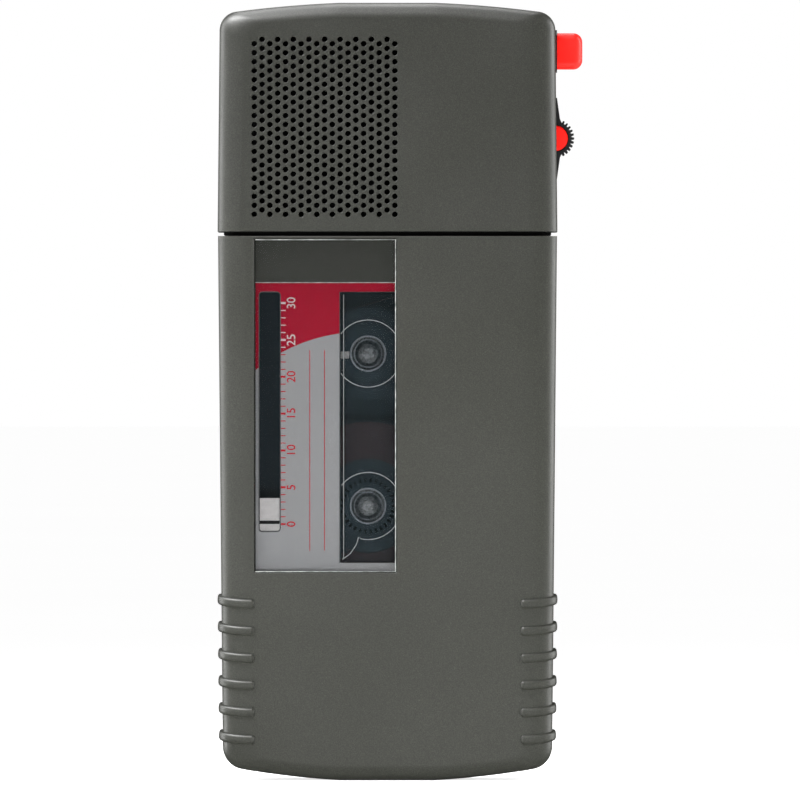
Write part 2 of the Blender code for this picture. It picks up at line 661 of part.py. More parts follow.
def make_flywheel():
    """Capstan, flywheel with a belt groove in its rim, and a small pulley, in one piece."""
    groove = FLYWHEEL_RADIUS - 0.7
    profile = [(0.0, -8.2), (CAPSTAN_RADIUS, -8.0), (CAPSTAN_RADIUS, 1.4),
               (FLYWHEEL_RADIUS, 1.4), (FLYWHEEL_RADIUS, 2.0), (groove, 2.2), (groove, 3.2),
               (FLYWHEEL_RADIUS, 3.4), (FLYWHEEL_RADIUS, 4.2), (2.0, 4.2), (2.0, 4.7),
               (2.6, 4.9), (2.2, 5.2), (2.2, 5.8), (2.6, 6.1), (0.0, 6.1)]
    centre = (CAPSTAN_X, CAPSTAN_Z)
    add_part("capstan_flywheel", turned(profile, "Y", centre, 28), "steel",
             (CAPSTAN_X, 0.0, CAPSTAN_Z))


def make_motor():
    centre = (MOTOR_X, MOTOR_Z)
    body = [(0.95, 4.2), (MOTOR_RADIUS, 4.2), (MOTOR_RADIUS, 9.8), (0.95, 9.8)]
    add_part("drive_motor", turned(body, "Y", centre, 28), "steel")
    pulley = [(0.0, 1.3), (2.1, 1.3), (MOTOR_PULLEY_RADIUS, 2.1), (MOTOR_PULLEY_RADIUS, 3.3),
              (2.1, 3.9), (0.8, 3.9), (0.8, 7.6), (0.0, 7.6)]
    add_part("motor_pulley", turned(pulley, "Y", centre, 20), "brass", (MOTOR_X, 0.0, MOTOR_Z))


def make_belt(name, small, small_radius, large, large_radius, front, back):
    inner, outer = (belt_outline(small, small_radius + BELT_GAP + depth, large,
                                 large_radius + BELT_GAP + depth)
                    for depth in (0.0, BELT_THICKNESS))
    add_part(name, tube(outer, inner, "Y", front, back), "rubber")


def make_belts():
    capstan = (CAPSTAN_X, CAPSTAN_Z)
    make_belt("motor_belt", (MOTOR_X, MOTOR_Z), MOTOR_PULLEY_RADIUS, capstan,
              FLYWHEEL_RADIUS - 0.7, 2.4, 3.0)
    make_belt("play_belt", capstan, 2.2, idler_centre(), 3.0, 5.3, 5.7)


def make_head_carriage():
    """A sliding plate beside the cassette that brings the head and the roller to the tape."""
    plate = add_part("head_carriage", box(18.9, 25.2, -1.3, -0.3, 44.0, 74.0), "steel",
                     (22.0, 0.0, 59.0))
    fuse(plate, cylinder("Y", (PINCH_X, CAPSTAN_Z), 0.6, -8.3, -0.8, 12),
         box(23.3, 25.2, -7.6, -0.8, 57.0, 63.0),
         box(21.9, 23.4, -0.8, 1.1, 45.4, 46.8), box(21.9, 23.4, -0.8, 1.1, 70.4, 71.8))
    head = [(23.0, -3.0), (19.9, -3.0), (19.3, -1.2), (19.3, 1.2), (19.9, 3.0), (23.0, 3.0)]
    outline = [(x, 60.0 + z) for x, z in head]
    add_part("tape_head", prism(outline, "Y", -8.0, -1.6), "steel", (22.0, 0.0, 59.0))
    roller = [(0.6 + RUNNING_GAP, TAPE[0]), (PINCH_RADIUS, TAPE[0]), (PINCH_RADIUS, TAPE[1]),
              (0.6 + RUNNING_GAP, TAPE[1])]
    add_part("pinch_roller", turned(roller, "Y", (PINCH_X, CAPSTAN_Z), 24), "rubber",
             (PINCH_X, 0.0, CAPSTAN_Z))


def make_main_board():
    board = add_part("main_board", box(-26.0, 26.0, 8.6, 9.6, 39.5, 91.8), "board")
    cut(board, cylinder("Y", (MOTOR_X, MOTOR_Z), MOTOR_RADIUS + 0.4, 7.0, 12.0, 32),
        box(-27.0, -24.6, 7.0, 12.0, 75.0, 93.0))
    fuse(board, box(-20.0, -11.0, 7.2, 8.8, 60.0, 66.0), box(-18.0, -12.0, 6.0, 8.8, 78.0, 84.0))


# Cassette -----------------------------------------------------------------------------

def cassette_half(name, front, back, inner_front, inner_back, finish):
    left, right, bottom, top = CASSETTE
    wall = CASSETTE_WALL
    half = add_part(name, prism(rounded_rectangle(left, right, bottom, top, 1.6, 3), "Y", front,
                                back), finish)
    cut(half, prism(rounded_rectangle(left + wall, right - wall, bottom + wall, top - wall, 1.0,
                                      3), "Y", inner_front, inner_back))
    return half


def index_gear_centre():
    """The index gear sits below and left of the lower hub, under the label."""
    distance = GEAR_MODULE * (REEL_TEETH + INDEX_TEETH) / 2.0
    angle = math.radians(222.0)
    return (HUB_X + distance * math.cos(angle), LOWER_HUB_Z + distance * math.sin(angle))


def make_cassette_shells():
    left, right, bottom, top = MOUTH
    front = cassette_half("cassette_front_shell", CASSETTE_FRONT, CASSETTE_MIDDLE - 0.1,
                          CASSETTE_FRONT + 0.9, 0.0, "black")
    slot_left, slot_right, slot_bottom, slot_top = INDEX_SLOT
    window_left, window_right, window_bottom, window_top = CLEAR_WINDOW
    cut(front, box(slot_left - 0.2, slot_right + 0.2, -12.0, -8.0, slot_bottom - 0.2,
                   slot_top + 3.0),
        box(window_left, window_right, -12.0, -8.0, window_bottom, window_top),
        box(left, right, CASSETTE_FRONT + 0.9, 0.0, bottom, top))
    centre = index_gear_centre()
    fuse(front, cylinder("Y", centre, 0.45, CASSETTE_FRONT + 0.4, -7.5, 10))
    rear = cassette_half("cassette_rear_shell", CASSETTE_MIDDLE + 0.1, CASSETTE_BACK, -12.0,
                         CASSETTE_BACK - 0.9, "black")
    cut(rear, box(left, right, -8.0, 0.0, bottom, top),
        cylinder("Y", (HUB_X, UPPER_HUB_Z), 3.3, -4.0, 0.0, 20),
        cylinder("Y", (HUB_X, LOWER_HUB_Z), 3.3, -4.0, 0.0, 20))


def make_cassette_label():
    left, right, bottom, top = CASSETTE
    label = add_part("cassette_label", prism(rounded_rectangle(left + 0.5, right - 0.5,
                                                               bottom + 0.5, top - 0.5, 1.2, 2),
                                             "Y", -9.85, -9.7), "label")
    slot_left, slot_right, slot_bottom, slot_top = INDEX_SLOT
    window_left, window_right, window_bottom, window_top = CLEAR_WINDOW
    cut(label, prism(rounded_rectangle(slot_left, slot_right, slot_bottom, slot_top, 0.6, 2),
                     "Y", -12.0, -8.0),
        box(window_left, window_right, -12.0, -8.0, window_bottom, window_top))


def make_cassette_window():
    left, right, bottom, top = CLEAR_WINDOW
    add_part("cassette_window", box(left + 0.15, right - 0.15, CASSETTE_FRONT + 0.1,
                                    CASSETTE_FRONT + 0.7, bottom + 0.15, top - 0.15), "clear")


def make_index_pointer():
    left, right, bottom, _ = INDEX_SLOT
    pointer = add_part("index_pointer", box(left + 0.1, right - 0.1, -9.5, -8.9, bottom + 0.1,
                                            bottom + 5.7), "pale",
                       (left + 1.8, -9.2, bottom + 1.6))
    cut(pointer, box(left - 1.0, right + 1.0, -9.6, -9.35, bottom + 1.3, bottom + 1.9))


def make_reels():
    reel_phase, index_phase = mesh_phases((HUB_X, LOWER_HUB_Z), index_gear_centre(),
                                          REEL_TEETH, INDEX_TEETH)
    for name, centre_z, phase in (("upper_reel", UPPER_HUB_Z, 0.0),
                                  ("lower_reel", LOWER_HUB_Z, reel_phase)):
        centre = (HUB_X, centre_z)
        reel = add_part(name, cylinder("Y", centre, HUB_RADIUS, TAPE[0] - 0.2, TAPE[1] + 0.3, 40),
                        "black", (HUB_X, 0.0, centre_z))
        fuse(reel, prism(gear_outline(centre, REEL_TEETH, phase), "Y", -8.4, TAPE[0]))
        cut(reel, cylinder("Y", centre, HUB_BORE, -12.0, 0.0, 24))
    pack = tube(circle((HUB_X, LOWER_HUB_Z), PACK_RADIUS, 48),
                circle((HUB_X, LOWER_HUB_Z), HUB_RADIUS + 0.15, 48), "Y", *TAPE)
    add_part("tape_pack", pack, "tape", (HUB_X, 0.0, LOWER_HUB_Z))
    centre = index_gear_centre()
    gear = add_part("index_gear", prism(gear_outline(centre, INDEX_TEETH, index_phase), "Y",
                                        -8.4, -7.7), "pale", (centre[0], 0.0, centre[1]))
    cut(gear, cylinder("Y", centre, 0.45 + RUNNING_GAP, -12.0, 0.0, 12))


def tangent_normal(first, first_radius, second, second_radius, side):
    """Angle of the normal of the tangent that touches both circles on the same side."""
    across, up = second[0] - first[0], second[1] - first[1]
    lean = math.acos((first_radius - second_radius) / math.hypot(across, up))
    return math.atan2(up, across) + side * lean


def make_tape_run():
    """The tape from the upper hub, round the two guides, to the lower pack."""
    upper_guide, lower_guide = (GUIDE_X, GUIDE_UPPER_Z), (GUIDE_X, GUIDE_LOWER_Z)
    upper_hub, lower_hub = (HUB_X, UPPER_HUB_Z), (HUB_X, LOWER_HUB_Z)
    guide = GUIDE_RADIUS + 0.1
    upper = tangent_normal(upper_hub, HUB_RADIUS + 0.1, upper_guide, guide, 1.0)
    lower = tangent_normal(lower_hub, PACK_RADIUS + 0.1, lower_guide, guide, -1.0)
    stations = [(upper_hub, HUB_RADIUS + 0.1, upper)]
    stations += [(upper_guide, guide, upper * (1.0 - step / 4.0)) for step in range(5)]
    stations += [(lower_guide, guide, lower * step / 4.0) for step in range(5)]
    stations += [(lower_hub, PACK_RADIUS + 0.1, lower)]
    inner, outer = [], []
    for centre, radius, angle in stations:
        for side, reach in ((inner, radius), (outer, radius + TAPE_THICKNESS)):
            side.append((centre[0] + reach * math.cos(angle),
                         centre[1] + reach * math.sin(angle)))
    add_part("tape_run", prism(inner + outer[::-1], "Y", *TAPE), "tape")


def make_guide_pins():
    for name, centre_z in (("guide_pin_upper", GUIDE_UPPER_Z), ("guide_pin_lower",
                                                               GUIDE_LOWER_Z)):
        profile = [(0.0, -8.5), (GUIDE_RADIUS, -8.5), (GUIDE_RADIUS, -2.8), (0.0, -2.8)]
        add_part(name, turned(profile, "Y", (GUIDE_X, centre_z), 14), "steel")


# Batteries and fasteners -----------------------------------------------------------------

def make_battery_tray():
    tray = add_part("battery_tray", box(-25.7, 25.7, -1.6, -0.6, 6.6, 28.6), "black")
    for side in (-1.0, 1.0):
        left, right = sorted((side * 25.1, side * 25.7))
        fuse(tray, box(left, right, -1.2, 8.6, 6.6, 28.6))


def make_batteries():
    half = CELL_LENGTH / 2.0
    for name, centre_z, direction in (("battery_lower", CELL_HEIGHTS[0], 1.0),
                                      ("battery_upper", CELL_HEIGHTS[1], -1.0)):
        ends = [(0.0, -half), (CELL_RADIUS, -half), (CELL_RADIUS, half - 0.8),
                (1.9, half - 0.8), (1.9, half), (0.0, half)]
        profile = [(radius, direction * along) for radius, along in ends]
        add_part(name, turned(profile, "X", (CELL_Y, centre_z), 24), "cell")
        contact = [(0.0, 22.6), (1.6, 22.6), (3.4, 24.9), (0.0, 24.9)]
        spring = [(radius, -direction * along) for radius, along in contact]
        add_part(f"contact_spring_{name[8:]}", turned(spring, "X", (CELL_Y, centre_z), 14),
                 "brass")


def make_battery_door():
    door = add_part("battery_door", back_solid(False, 60.0), "shell", (0.0, 11.4, 14.0))
    keep_inside(door, box(-DOOR_HALF_WIDTH, DOOR_HALF_WIDTH, DOOR_INNER_Y, 14.0, -1.0,
                          DOOR_TOP))
    for number in range(3):
        low = 20.5 + 2.0 * number
        cut(door, box(-6.0, 6.0, 11.6, 14.0, low, low + 1.0))


def make_screws():
    sites = ((UPPER_SCREWS, -9.0), (LOWER_SCREWS, -0.2))
    number = 0
    for centres, tip in sites:
        for centre in centres:
            number += 1
            profile = [(0.0, tip), (SCREW_RADIUS, tip + 0.6), (SCREW_RADIUS, 6.1),
                       (SCREW_HEAD_RADIUS, 6.1), (SCREW_HEAD_RADIUS, 7.2), (1.7, 7.7),
                       (0.0, 7.7)]
            screw = add_part(f"case_screw_{number}", turned(profile, "Y", centre, 16), "steel")
            for long_x, long_z in ((1.3, 0.25), (0.25, 1.3)):
                cut(screw, box(centre[0] - long_x, centre[0] + long_x, 7.1, 9.0,
                               centre[1] - long_z, centre[1] + long_z))


def make_hinge_pin():
    add_part("lid_hinge_pin", cylinder("X", (HINGE_Y, HINGE_Z), HINGE_PIN_RADIUS, -25.0, 25.0,
                                       16), "steel")


# The whole machine ------------------------------------------------------------------------

def make_housing():
    make_upper_front_cover()
    make_upper_rear_cover()
    make_lower_rear_cover()
    make_cassette_lid()
    make_window_pane()
    make_divider_plate()


def make_controls():
    make_record_button()
    make_button_collar()
    make_side_bezel()
    make_slide()
    make_switches()
    make_volume_control()
    make_lid_release()


def make_deck():
    spindle_phase, idler_phase = spindle_gear_phases()
    make_deck_plate()
    make_spindle("supply_spindle", UPPER_HUB_Z, 0.0)
    make_spindle("take_up_spindle", LOWER_HUB_Z, spindle_phase)
    make_idler_gear(idler_phase)
    make_flywheel()
    make_motor()
    make_belts()
    make_head_carriage()
    make_main_board()


def make_cassette():
    make_cassette_shells()
    make_cassette_label()
    make_cassette_window()
    make_index_pointer()
    make_reels()
    make_tape_run()
    make_guide_pins()


def main():
    clear_scene()
    make_housing()
    make_controls()
    make_speaker()
    make_top_row()
    make_deck()
    make_cassette()
    make_battery_tray()
    make_batteries()
    make_battery_door()
    make_screws()
    make_hinge_pin()


main()
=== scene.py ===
import math

import bmesh
import bpy
from mathutils import Matrix, Vector


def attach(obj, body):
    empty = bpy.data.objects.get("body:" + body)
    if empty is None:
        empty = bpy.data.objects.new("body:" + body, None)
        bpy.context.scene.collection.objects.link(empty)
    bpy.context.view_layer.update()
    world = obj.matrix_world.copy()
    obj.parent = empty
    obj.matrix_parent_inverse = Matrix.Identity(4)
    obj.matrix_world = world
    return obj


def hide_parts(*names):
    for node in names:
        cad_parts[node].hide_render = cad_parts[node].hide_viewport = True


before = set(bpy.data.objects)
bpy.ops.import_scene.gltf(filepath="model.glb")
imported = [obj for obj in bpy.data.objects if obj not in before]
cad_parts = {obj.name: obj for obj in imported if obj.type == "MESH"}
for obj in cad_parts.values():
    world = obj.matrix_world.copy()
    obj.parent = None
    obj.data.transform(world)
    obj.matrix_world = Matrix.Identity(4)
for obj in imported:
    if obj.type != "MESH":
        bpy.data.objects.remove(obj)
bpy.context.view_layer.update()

MM = 0.001

# The outer shape, the same as the CAD parts but with finer steps.
HEIGHT = 132.0
FRONT, BACK = -12.0, 12.0
SEAM_Y, SEAM_GAP = -4.0, 0.3
HALF_WIDTH, TAPER = 28.85, 0.010
GROOVE_LOW, GROOVE_HIGH = 92.4, 93.15
WALL = 1.8
TOP_END, FOOT_END = (204.0, 3.2), (155.0, 3.9)
END_FLAT = 16.5
FRONT_EDGE, BACK_EDGE = (5.0, 2.6, 2.6), (3.0, 2.6, 3.0)
EDGE_STEPS = 12
ARC_STEPS, CORNER_STEPS = 18, 10
RIM = 0.25                 # rounding of the edges along the groove
SEAM_RIM = 0.18            # rounding of the edges along the seam

HINGE_Y, HINGE_Z = -3.5, 2.7
HINGE_PIN_RADIUS, HINGE_EYE_RADIUS = 0.6, 1.25
RUNNING_GAP = 0.10
PANE = (-22.65, 1.6, 35.2, 92.0)
PANE_RIM, LEDGE_Z = 0.25, 84.4
PANE_FLOOR_Y, LID_INNER_Y = -10.8, -10.0
RIB_COUNT, RIB_PITCH, RIB_HEIGHT, RIB_RISE = 6, 4.61, 1.6, 0.65
RIB_TOP, RIB_INNER_X, RIB_SWEEP = 30.75, 22.6, 0.9

CASSETTE = (-23.8, 18.2, 29.7, 89.3)
CASSETTE_FRONT = -9.6
HUB_X, UPPER_HUB_Z, LOWER_HUB_Z = -3.3, 72.45, 46.57
HUB_BORE, REEL_FRONT, REEL_INSIDE = 2.9, -8.42, -8.3
BEAD_RADIUS, BEAD_STEP = 5.7, 4                 # a bead's radius, and its step in degrees
CLEAR_WINDOW = (-8.1, 9.0, 36.9, 82.9)
INDEX_SLOT = (-21.8, -18.2, 42.2, 82.9)
LABEL_FRONT, LABEL_BACK = -9.85, -9.7
LABEL_MARGIN, INK_RISE = 0.5, 0.03
SLOT_CORNER, WINDOW_CORNER = 0.6, 0.3
SUN_X, SUN_Z, SUN_RADIUS = -4.3, 47.5, 28.6     # the round edge between the label's colours

SCALE_ZERO_Z, SCALE_PITCH = 43.49, 1.2509
SCALE_END, NUMBERED_EVERY = 30, 5
TICK_LEFT, TICK_RIGHT, NUMERAL_X = -18.2, -17.3, -16.29
LONG_TICK, SHORT_TICK = 0.17, 0.08              # half thicknesses
NUMERAL_SIZE, NUMERAL_THICKNESS, NUMERAL_OFFSET = 2.05, 0.02, 0.010
RULED_LINES_X, RULED_LOW, RULED_HIGH = (-13.2, -10.7), 39.0, 73.0
NOTCH_COUNT = 30

HOLE_RADIUS, HOLE_CHAMFER = 0.475, 0.10
HOLE_COLUMNS, HOLE_ROWS = 19, 20
HOLE_LEFT, COLUMN_PITCH, ROW_PITCH = -22.6, 1.325, 1.523
ODD_TOP, EVEN_TOP = 125.0, 125.75

CONTROL_Y = 1.2
BUTTON_Z, BUTTON_HEIGHT, BUTTON_DEPTH, BUTTON_END_X = 123.95, 6.1, 6.7, 33.17
SLIDE_X, SLIDE_Z, SLIDE_RADIUS, SLIDE_DEPTH = 28.5, 109.1, 3.28, 7.0
SLIDE_TEETH, SHOWN_TEETH = 29, 5       # teeth in a full turn, and on each side of the middle
RAMP_START, RAMP_END = 3.3, 6.9                 # heights of the ramps from the slide's middle
INLAY_RADIUS = 2.2
VOLUME_Y, VOLUME_Z = 6.0, 104.0
TOP_ROW_Y, MICROPHONE_X, LAMP_X, SOCKET_X = 3.0, -14.0, 2.0, 11.5
SCREW_RADIUS, SCREW_HEAD_RADIUS = 1.0, 2.2
UPPER_SCREWS = ((-22.5, 123.5), (22.5, 117.9))
LOWER_SCREWS = ((-22.3, 34.5), (22.3, 34.5))
DOOR_HALF_WIDTH, DOOR_TOP, DOOR_INNER_Y = 23.0, 28.3, 10.8
DOOR_GAP, DOOR_GRIPS, GRIP_LOW, GRIP_PITCH = 0.3, 3, 20.5, 2.0
FRONT_BOSS, REAR_BOSS = 2.4, 2.9
MICROPHONE_HOLE, LAMP_HOLE, SOCKET_HOLE = 1.2, 1.45, 3.0
BEYOND = 14.0                                   # y just outside the faces, for cutting tools

# The studio, in metres.
CAMERA_DISTANCE, FIELD_WIDTH, SENSOR_WIDTH = 3.0, 0.13572, 36.0
CAMERA_X, CAMERA_Z = 0.00212, 0.06456
FLOOR_HALF_SIZE, FLOOR_DROP = 40.0, 0.00002
SURROUND, REFLECTED = 0.36, 0.05       # strength of the surround as light and in reflections
LIGHTS = (      # name, size, watts, place, target, seen in reflections, lights matt surfaces
    ("left_strip", (0.25, 0.5), 3.2, (-0.45, 0.04, 0.14), (0.0, -0.01, 0.08), True, True),
    ("right_strip", (0.25, 0.5), 3.0, (0.45, 0.04, 0.14), (0.0, -0.01, 0.08), True, True),
    ("top_strip", (0.6, 0.20), 3.4, (-0.1, 0.05, 0.55), (0.0, 0.0, 0.12), True, True),
    ("top_glint", (0.4, 0.12), 10.0, (-0.3, -0.25, 0.52), (0.0, 0.0, 0.03), True, False),
    ("low_front", (0.30, 0.08), 1.40, (0.0, -0.16, -0.01), (0.0, 0.0, 0.02), False, True),
)


# Materials ------------------------------------------------------------------------------

class Finish:
    """A material with one Principled shader, and short ways to add the nodes that feed it."""

    def __init__(self, name, roughness, metallic=0.0, specular=0.5):
        self.material = bpy.data.materials.new(name)
        self.material.use_nodes = True
        self.tree = self.material.node_tree
        self.shader = self.tree.nodes["Principled BSDF"]
        self.shader.inputs["Roughness"].default_value = roughness
        self.shader.inputs["Metallic"].default_value = metallic
        self.shader.inputs["Specular IOR Level"].default_value = specular
        self.place = self.tree.nodes.new("ShaderNodeTexCoord").outputs["Object"]

    def link(self, output, target):
        self.tree.links.new(output, target)

    def mapped(self, **settings):
        """Object coordinates after a Mapping node with these settings."""
        node = self.tree.nodes.new("ShaderNodeMapping")
        for name, value in settings.items():
            node.inputs[name].default_value = value
        self.link(self.place, node.inputs["Vector"])
        return node.outputs["Vector"]

    def noise(self, scale, detail=2.0, vector=None):
        node = self.tree.nodes.new("ShaderNodeTexNoise")
        node.inputs["Scale"].default_value = scale
        node.inputs["Detail"].default_value = detail
        self.link(vector or self.place, node.inputs["Vector"])
        return node.outputs["Fac"]

    def ramp(self, factor, stops):
        """Colours at places along the factor, blended in between."""
        node = self.tree.nodes.new("ShaderNodeValToRGB")
        elements = node.color_ramp.elements
        while len(elements) < len(stops):
            elements.new(0.5)
        for element, (position, colour) in zip(elements, stops):
            element.position = position
            element.color = (*colour, 1.0)
        self.link(factor, node.inputs["Fac"])
        return node.outputs["Color"]

    def span(self, factor, low, high, to_low, to_high):
        node = self.tree.nodes.new("ShaderNodeMapRange")
        for socket, value in zip(node.inputs[1:5], (low, high, to_low, to_high)):
            socket.default_value = value
        self.link(factor, node.inputs[0])
        return node.outputs[0]

    def mix(self, factor, first, second, kind="MIX"):
        node = self.tree.nodes.new("ShaderNodeMix")
        node.data_type = "RGBA"
        node.blend_type = kind
        sockets = [socket for socket in node.inputs if socket.type == "RGBA"]
        for value, socket in zip((first, second), sockets):
            if isinstance(value, tuple):
                socket.default_value = (*value, 1.0)
            else:
                self.link(value, socket)
        if isinstance(factor, float):
            node.inputs[0].default_value = factor
        else:
            self.link(factor, node.inputs[0])
        return [socket for socket in node.outputs if socket.type == "RGBA"][0]

    def colour(self, output):
        self.link(output, self.shader.inputs["Base Color"])

    def roughness(self, output):
        self.link(output, self.shader.inputs["Roughness"])

    def bump(self, height, strength, distance):
        node = self.tree.nodes.new("ShaderNodeBump")
        node.inputs["Strength"].default_value = strength
        node.inputs["Distance"].default_value = distance * MM
        self.link(height, node.inputs["Height"])
        self.link(node.outputs["Normal"], self.shader.inputs["Normal"])


def tinted(colour, factor):
    return tuple(channel * factor for channel in colour)


def shell_finish():
    """Sprayed grey housing plastic: fine grain with a few light specks, worn a little shiny."""
    finish = Finish("shell_plastic", 0.45)
    base = (0.0240, 0.0250, 0.0200)
    grain = finish.noise(5600.0, 2.0)
    colour = finish.ramp(grain, [(0.30, tinted(base, 0.62)), (0.50, base),
                                 (0.70, tinted(base, 1.50))])
    speck = finish.span(finish.noise(6200.0, 1.0), 0.69, 0.78, 0.0, 0.55)
    colour = finish.mix(speck, colour, tinted(base, 3.2))
    cloud = finish.ramp(finish.noise(45.0, 2.0), [(0.3, (0.95, 0.95, 0.95)),
                                                  (0.7, (1.04, 1.04, 1.04))])
    finish.colour(finish.mix(1.0, colour, cloud, "MULTIPLY"))
    finish.roughness(finish.span(finish.noise(60.0), 0.3, 0.7, 0.40, 0.50))
    finish.bump(finish.noise(4800.0, 2.0), 0.30, 0.05)
    return finish.material


def moulded_finish(name, colour, roughness, grain=2600.0, bump=0.15, contrast=0.12,
                   specular=0.4):
    """Plain moulded plastic with slight mottling and a fine texture."""
    finish = Finish(name, roughness, specular=specular)
    finish.colour(finish.ramp(finish.noise(grain, 2.0),
                              [(0.3, tinted(colour, 1.0 - contrast)), (0.5, colour),
                               (0.7, tinted(colour, 1.0 + contrast))]))
    finish.roughness(finish.span(finish.noise(220.0), 0.3, 0.7, roughness * 0.88,
                                 min(1.0, roughness * 1.12)))
    finish.bump(finish.noise(grain * 1.3, 2.0), bump, 0.03)
    return finish.material


def metal_finish(name, colour, roughness, direction=(1.0, 1.0, 1.0)):
    """Metal with fine brushed or rolled lines along one direction."""
    finish = Finish(name, roughness, 1.0)
    lines = finish.noise(2200.0, 2.0, finish.mapped(Scale=direction))
    finish.colour(finish.ramp(lines, [(0.3, tinted(colour, 0.80)), (0.7, colour)]))
    finish.roughness(finish.span(lines, 0.3, 0.7, roughness * 0.8, roughness * 1.25))
    finish.bump(lines, 0.12, 0.02)
    return finish.material


def clear_finish(name, colour, alpha, roughness):
    """Tinted see-through plastic with faint moulding marks."""
    finish = Finish(name, roughness, specular=0.12)
    finish.colour(finish.ramp(finish.noise(300.0), [(0.3, tinted(colour, 0.9)),
                                                    (0.7, tinted(colour, 1.1))]))
    finish.roughness(finish.span(finish.noise(120.0), 0.3, 0.7, roughness * 0.8,
                                 roughness * 1.3))
    finish.shader.inputs["Alpha"].default_value = alpha
    return finish.material


def label_finish():
    """Printed label: silver grey inside a big circle and dark red outside it."""
    finish = Finish("label_print", 0.45, specular=0.15)
    from_sun = finish.mapped(Location=(-SUN_X * MM, 0.0, -SUN_Z * MM), Scale=(1.0, 0.0, 1.0))
    length = finish.tree.nodes.new("ShaderNodeVectorMath")
    length.operation = "LENGTH"
    finish.link(from_sun, length.inputs[0])
    outside = finish.span(length.outputs["Value"], (SUN_RADIUS - 0.03) * MM,
                          (SUN_RADIUS + 0.03) * MM, 0.0, 1.0)
    fibre = finish.noise(1500.0, 3.0)
    red, silver = (0.48, 0.004, 0.030), (0.430, 0.435, 0.445)
    reds = finish.ramp(fibre, [(0.3, tinted(red, 0.94)), (0.7, tinted(red, 1.05))])
    silvers = finish.ramp(fibre, [(0.3, tinted(silver, 0.97)), (0.7, tinted(silver, 1.02))])
    finish.colour(finish.mix(outside, silvers, reds))
    finish.bump(fibre, 0.05, 0.01)
    return finish.material


def tape_finish():
    """Wound tape: fine rings round the lower hub, seen from the front."""
    finish = Finish("wound_tape", 0.36)
    rings = finish.tree.nodes.new("ShaderNodeTexWave")
    rings.wave_type = "RINGS"
    rings.rings_direction = "Y"
    rings.inputs["Scale"].default_value = 900.0
    rings.inputs["Distortion"].default_value = 1.5
    finish.link(finish.mapped(Location=(-HUB_X * MM, 0.0, -LOWER_HUB_Z * MM)),
                rings.inputs["Vector"])
    finish.colour(finish.ramp(rings.outputs["Fac"], [(0.2, (0.050, 0.026, 0.030)),
                                                     (0.8, (0.075, 0.040, 0.044))]))
    finish.bump(rings.outputs["Fac"], 0.2, 0.02)
    return finish.material


def board_finish():
    """Circuit board: green lacquer over pale tracks that run in short straight steps."""
    finish = Finish("circuit_board", 0.4)
    cells = finish.tree.nodes.new("ShaderNodeTexBrick")
    cells.inputs["Scale"].default_value = 260.0
    cells.inputs["Mortar Size"].default_value = 0.03
    cells.inputs["Color1"].default_value = (0.012, 0.095, 0.035, 1.0)
    cells.inputs["Color2"].default_value = (0.016, 0.120, 0.045, 1.0)
    cells.inputs["Mortar"].default_value = (0.10, 0.26, 0.10, 1.0)
    finish.link(finish.mapped(Rotation=(math.pi / 2.0, 0.0, 0.0)), cells.inputs["Vector"])
    finish.colour(finish.mix(finish.span(finish.noise(700.0), 0.55, 0.65, 0.0, 0.35),
                             cells.outputs["Color"], (0.05, 0.30, 0.12)))
    return finish.material


def cell_finish():
    """Battery wrap: blue foil with a copper-coloured band at one end."""
    finish = Finish("cell_wrap", 0.3, 0.3)
    parts = finish.tree.nodes.new("ShaderNodeSeparateXYZ")
    finish.link(finish.place, parts.inputs["Vector"])
    band = finish.span(parts.outputs["X"], 0.0115, 0.0117, 0.0, 1.0)
    foil = finish.ramp(finish.noise(1200.0), [(0.3, (0.015, 0.05, 0.24)),
                                              (0.7, (0.03, 0.08, 0.33))])
    finish.colour(finish.mix(band, foil, (0.50, 0.24, 0.08)))
    return finish.material


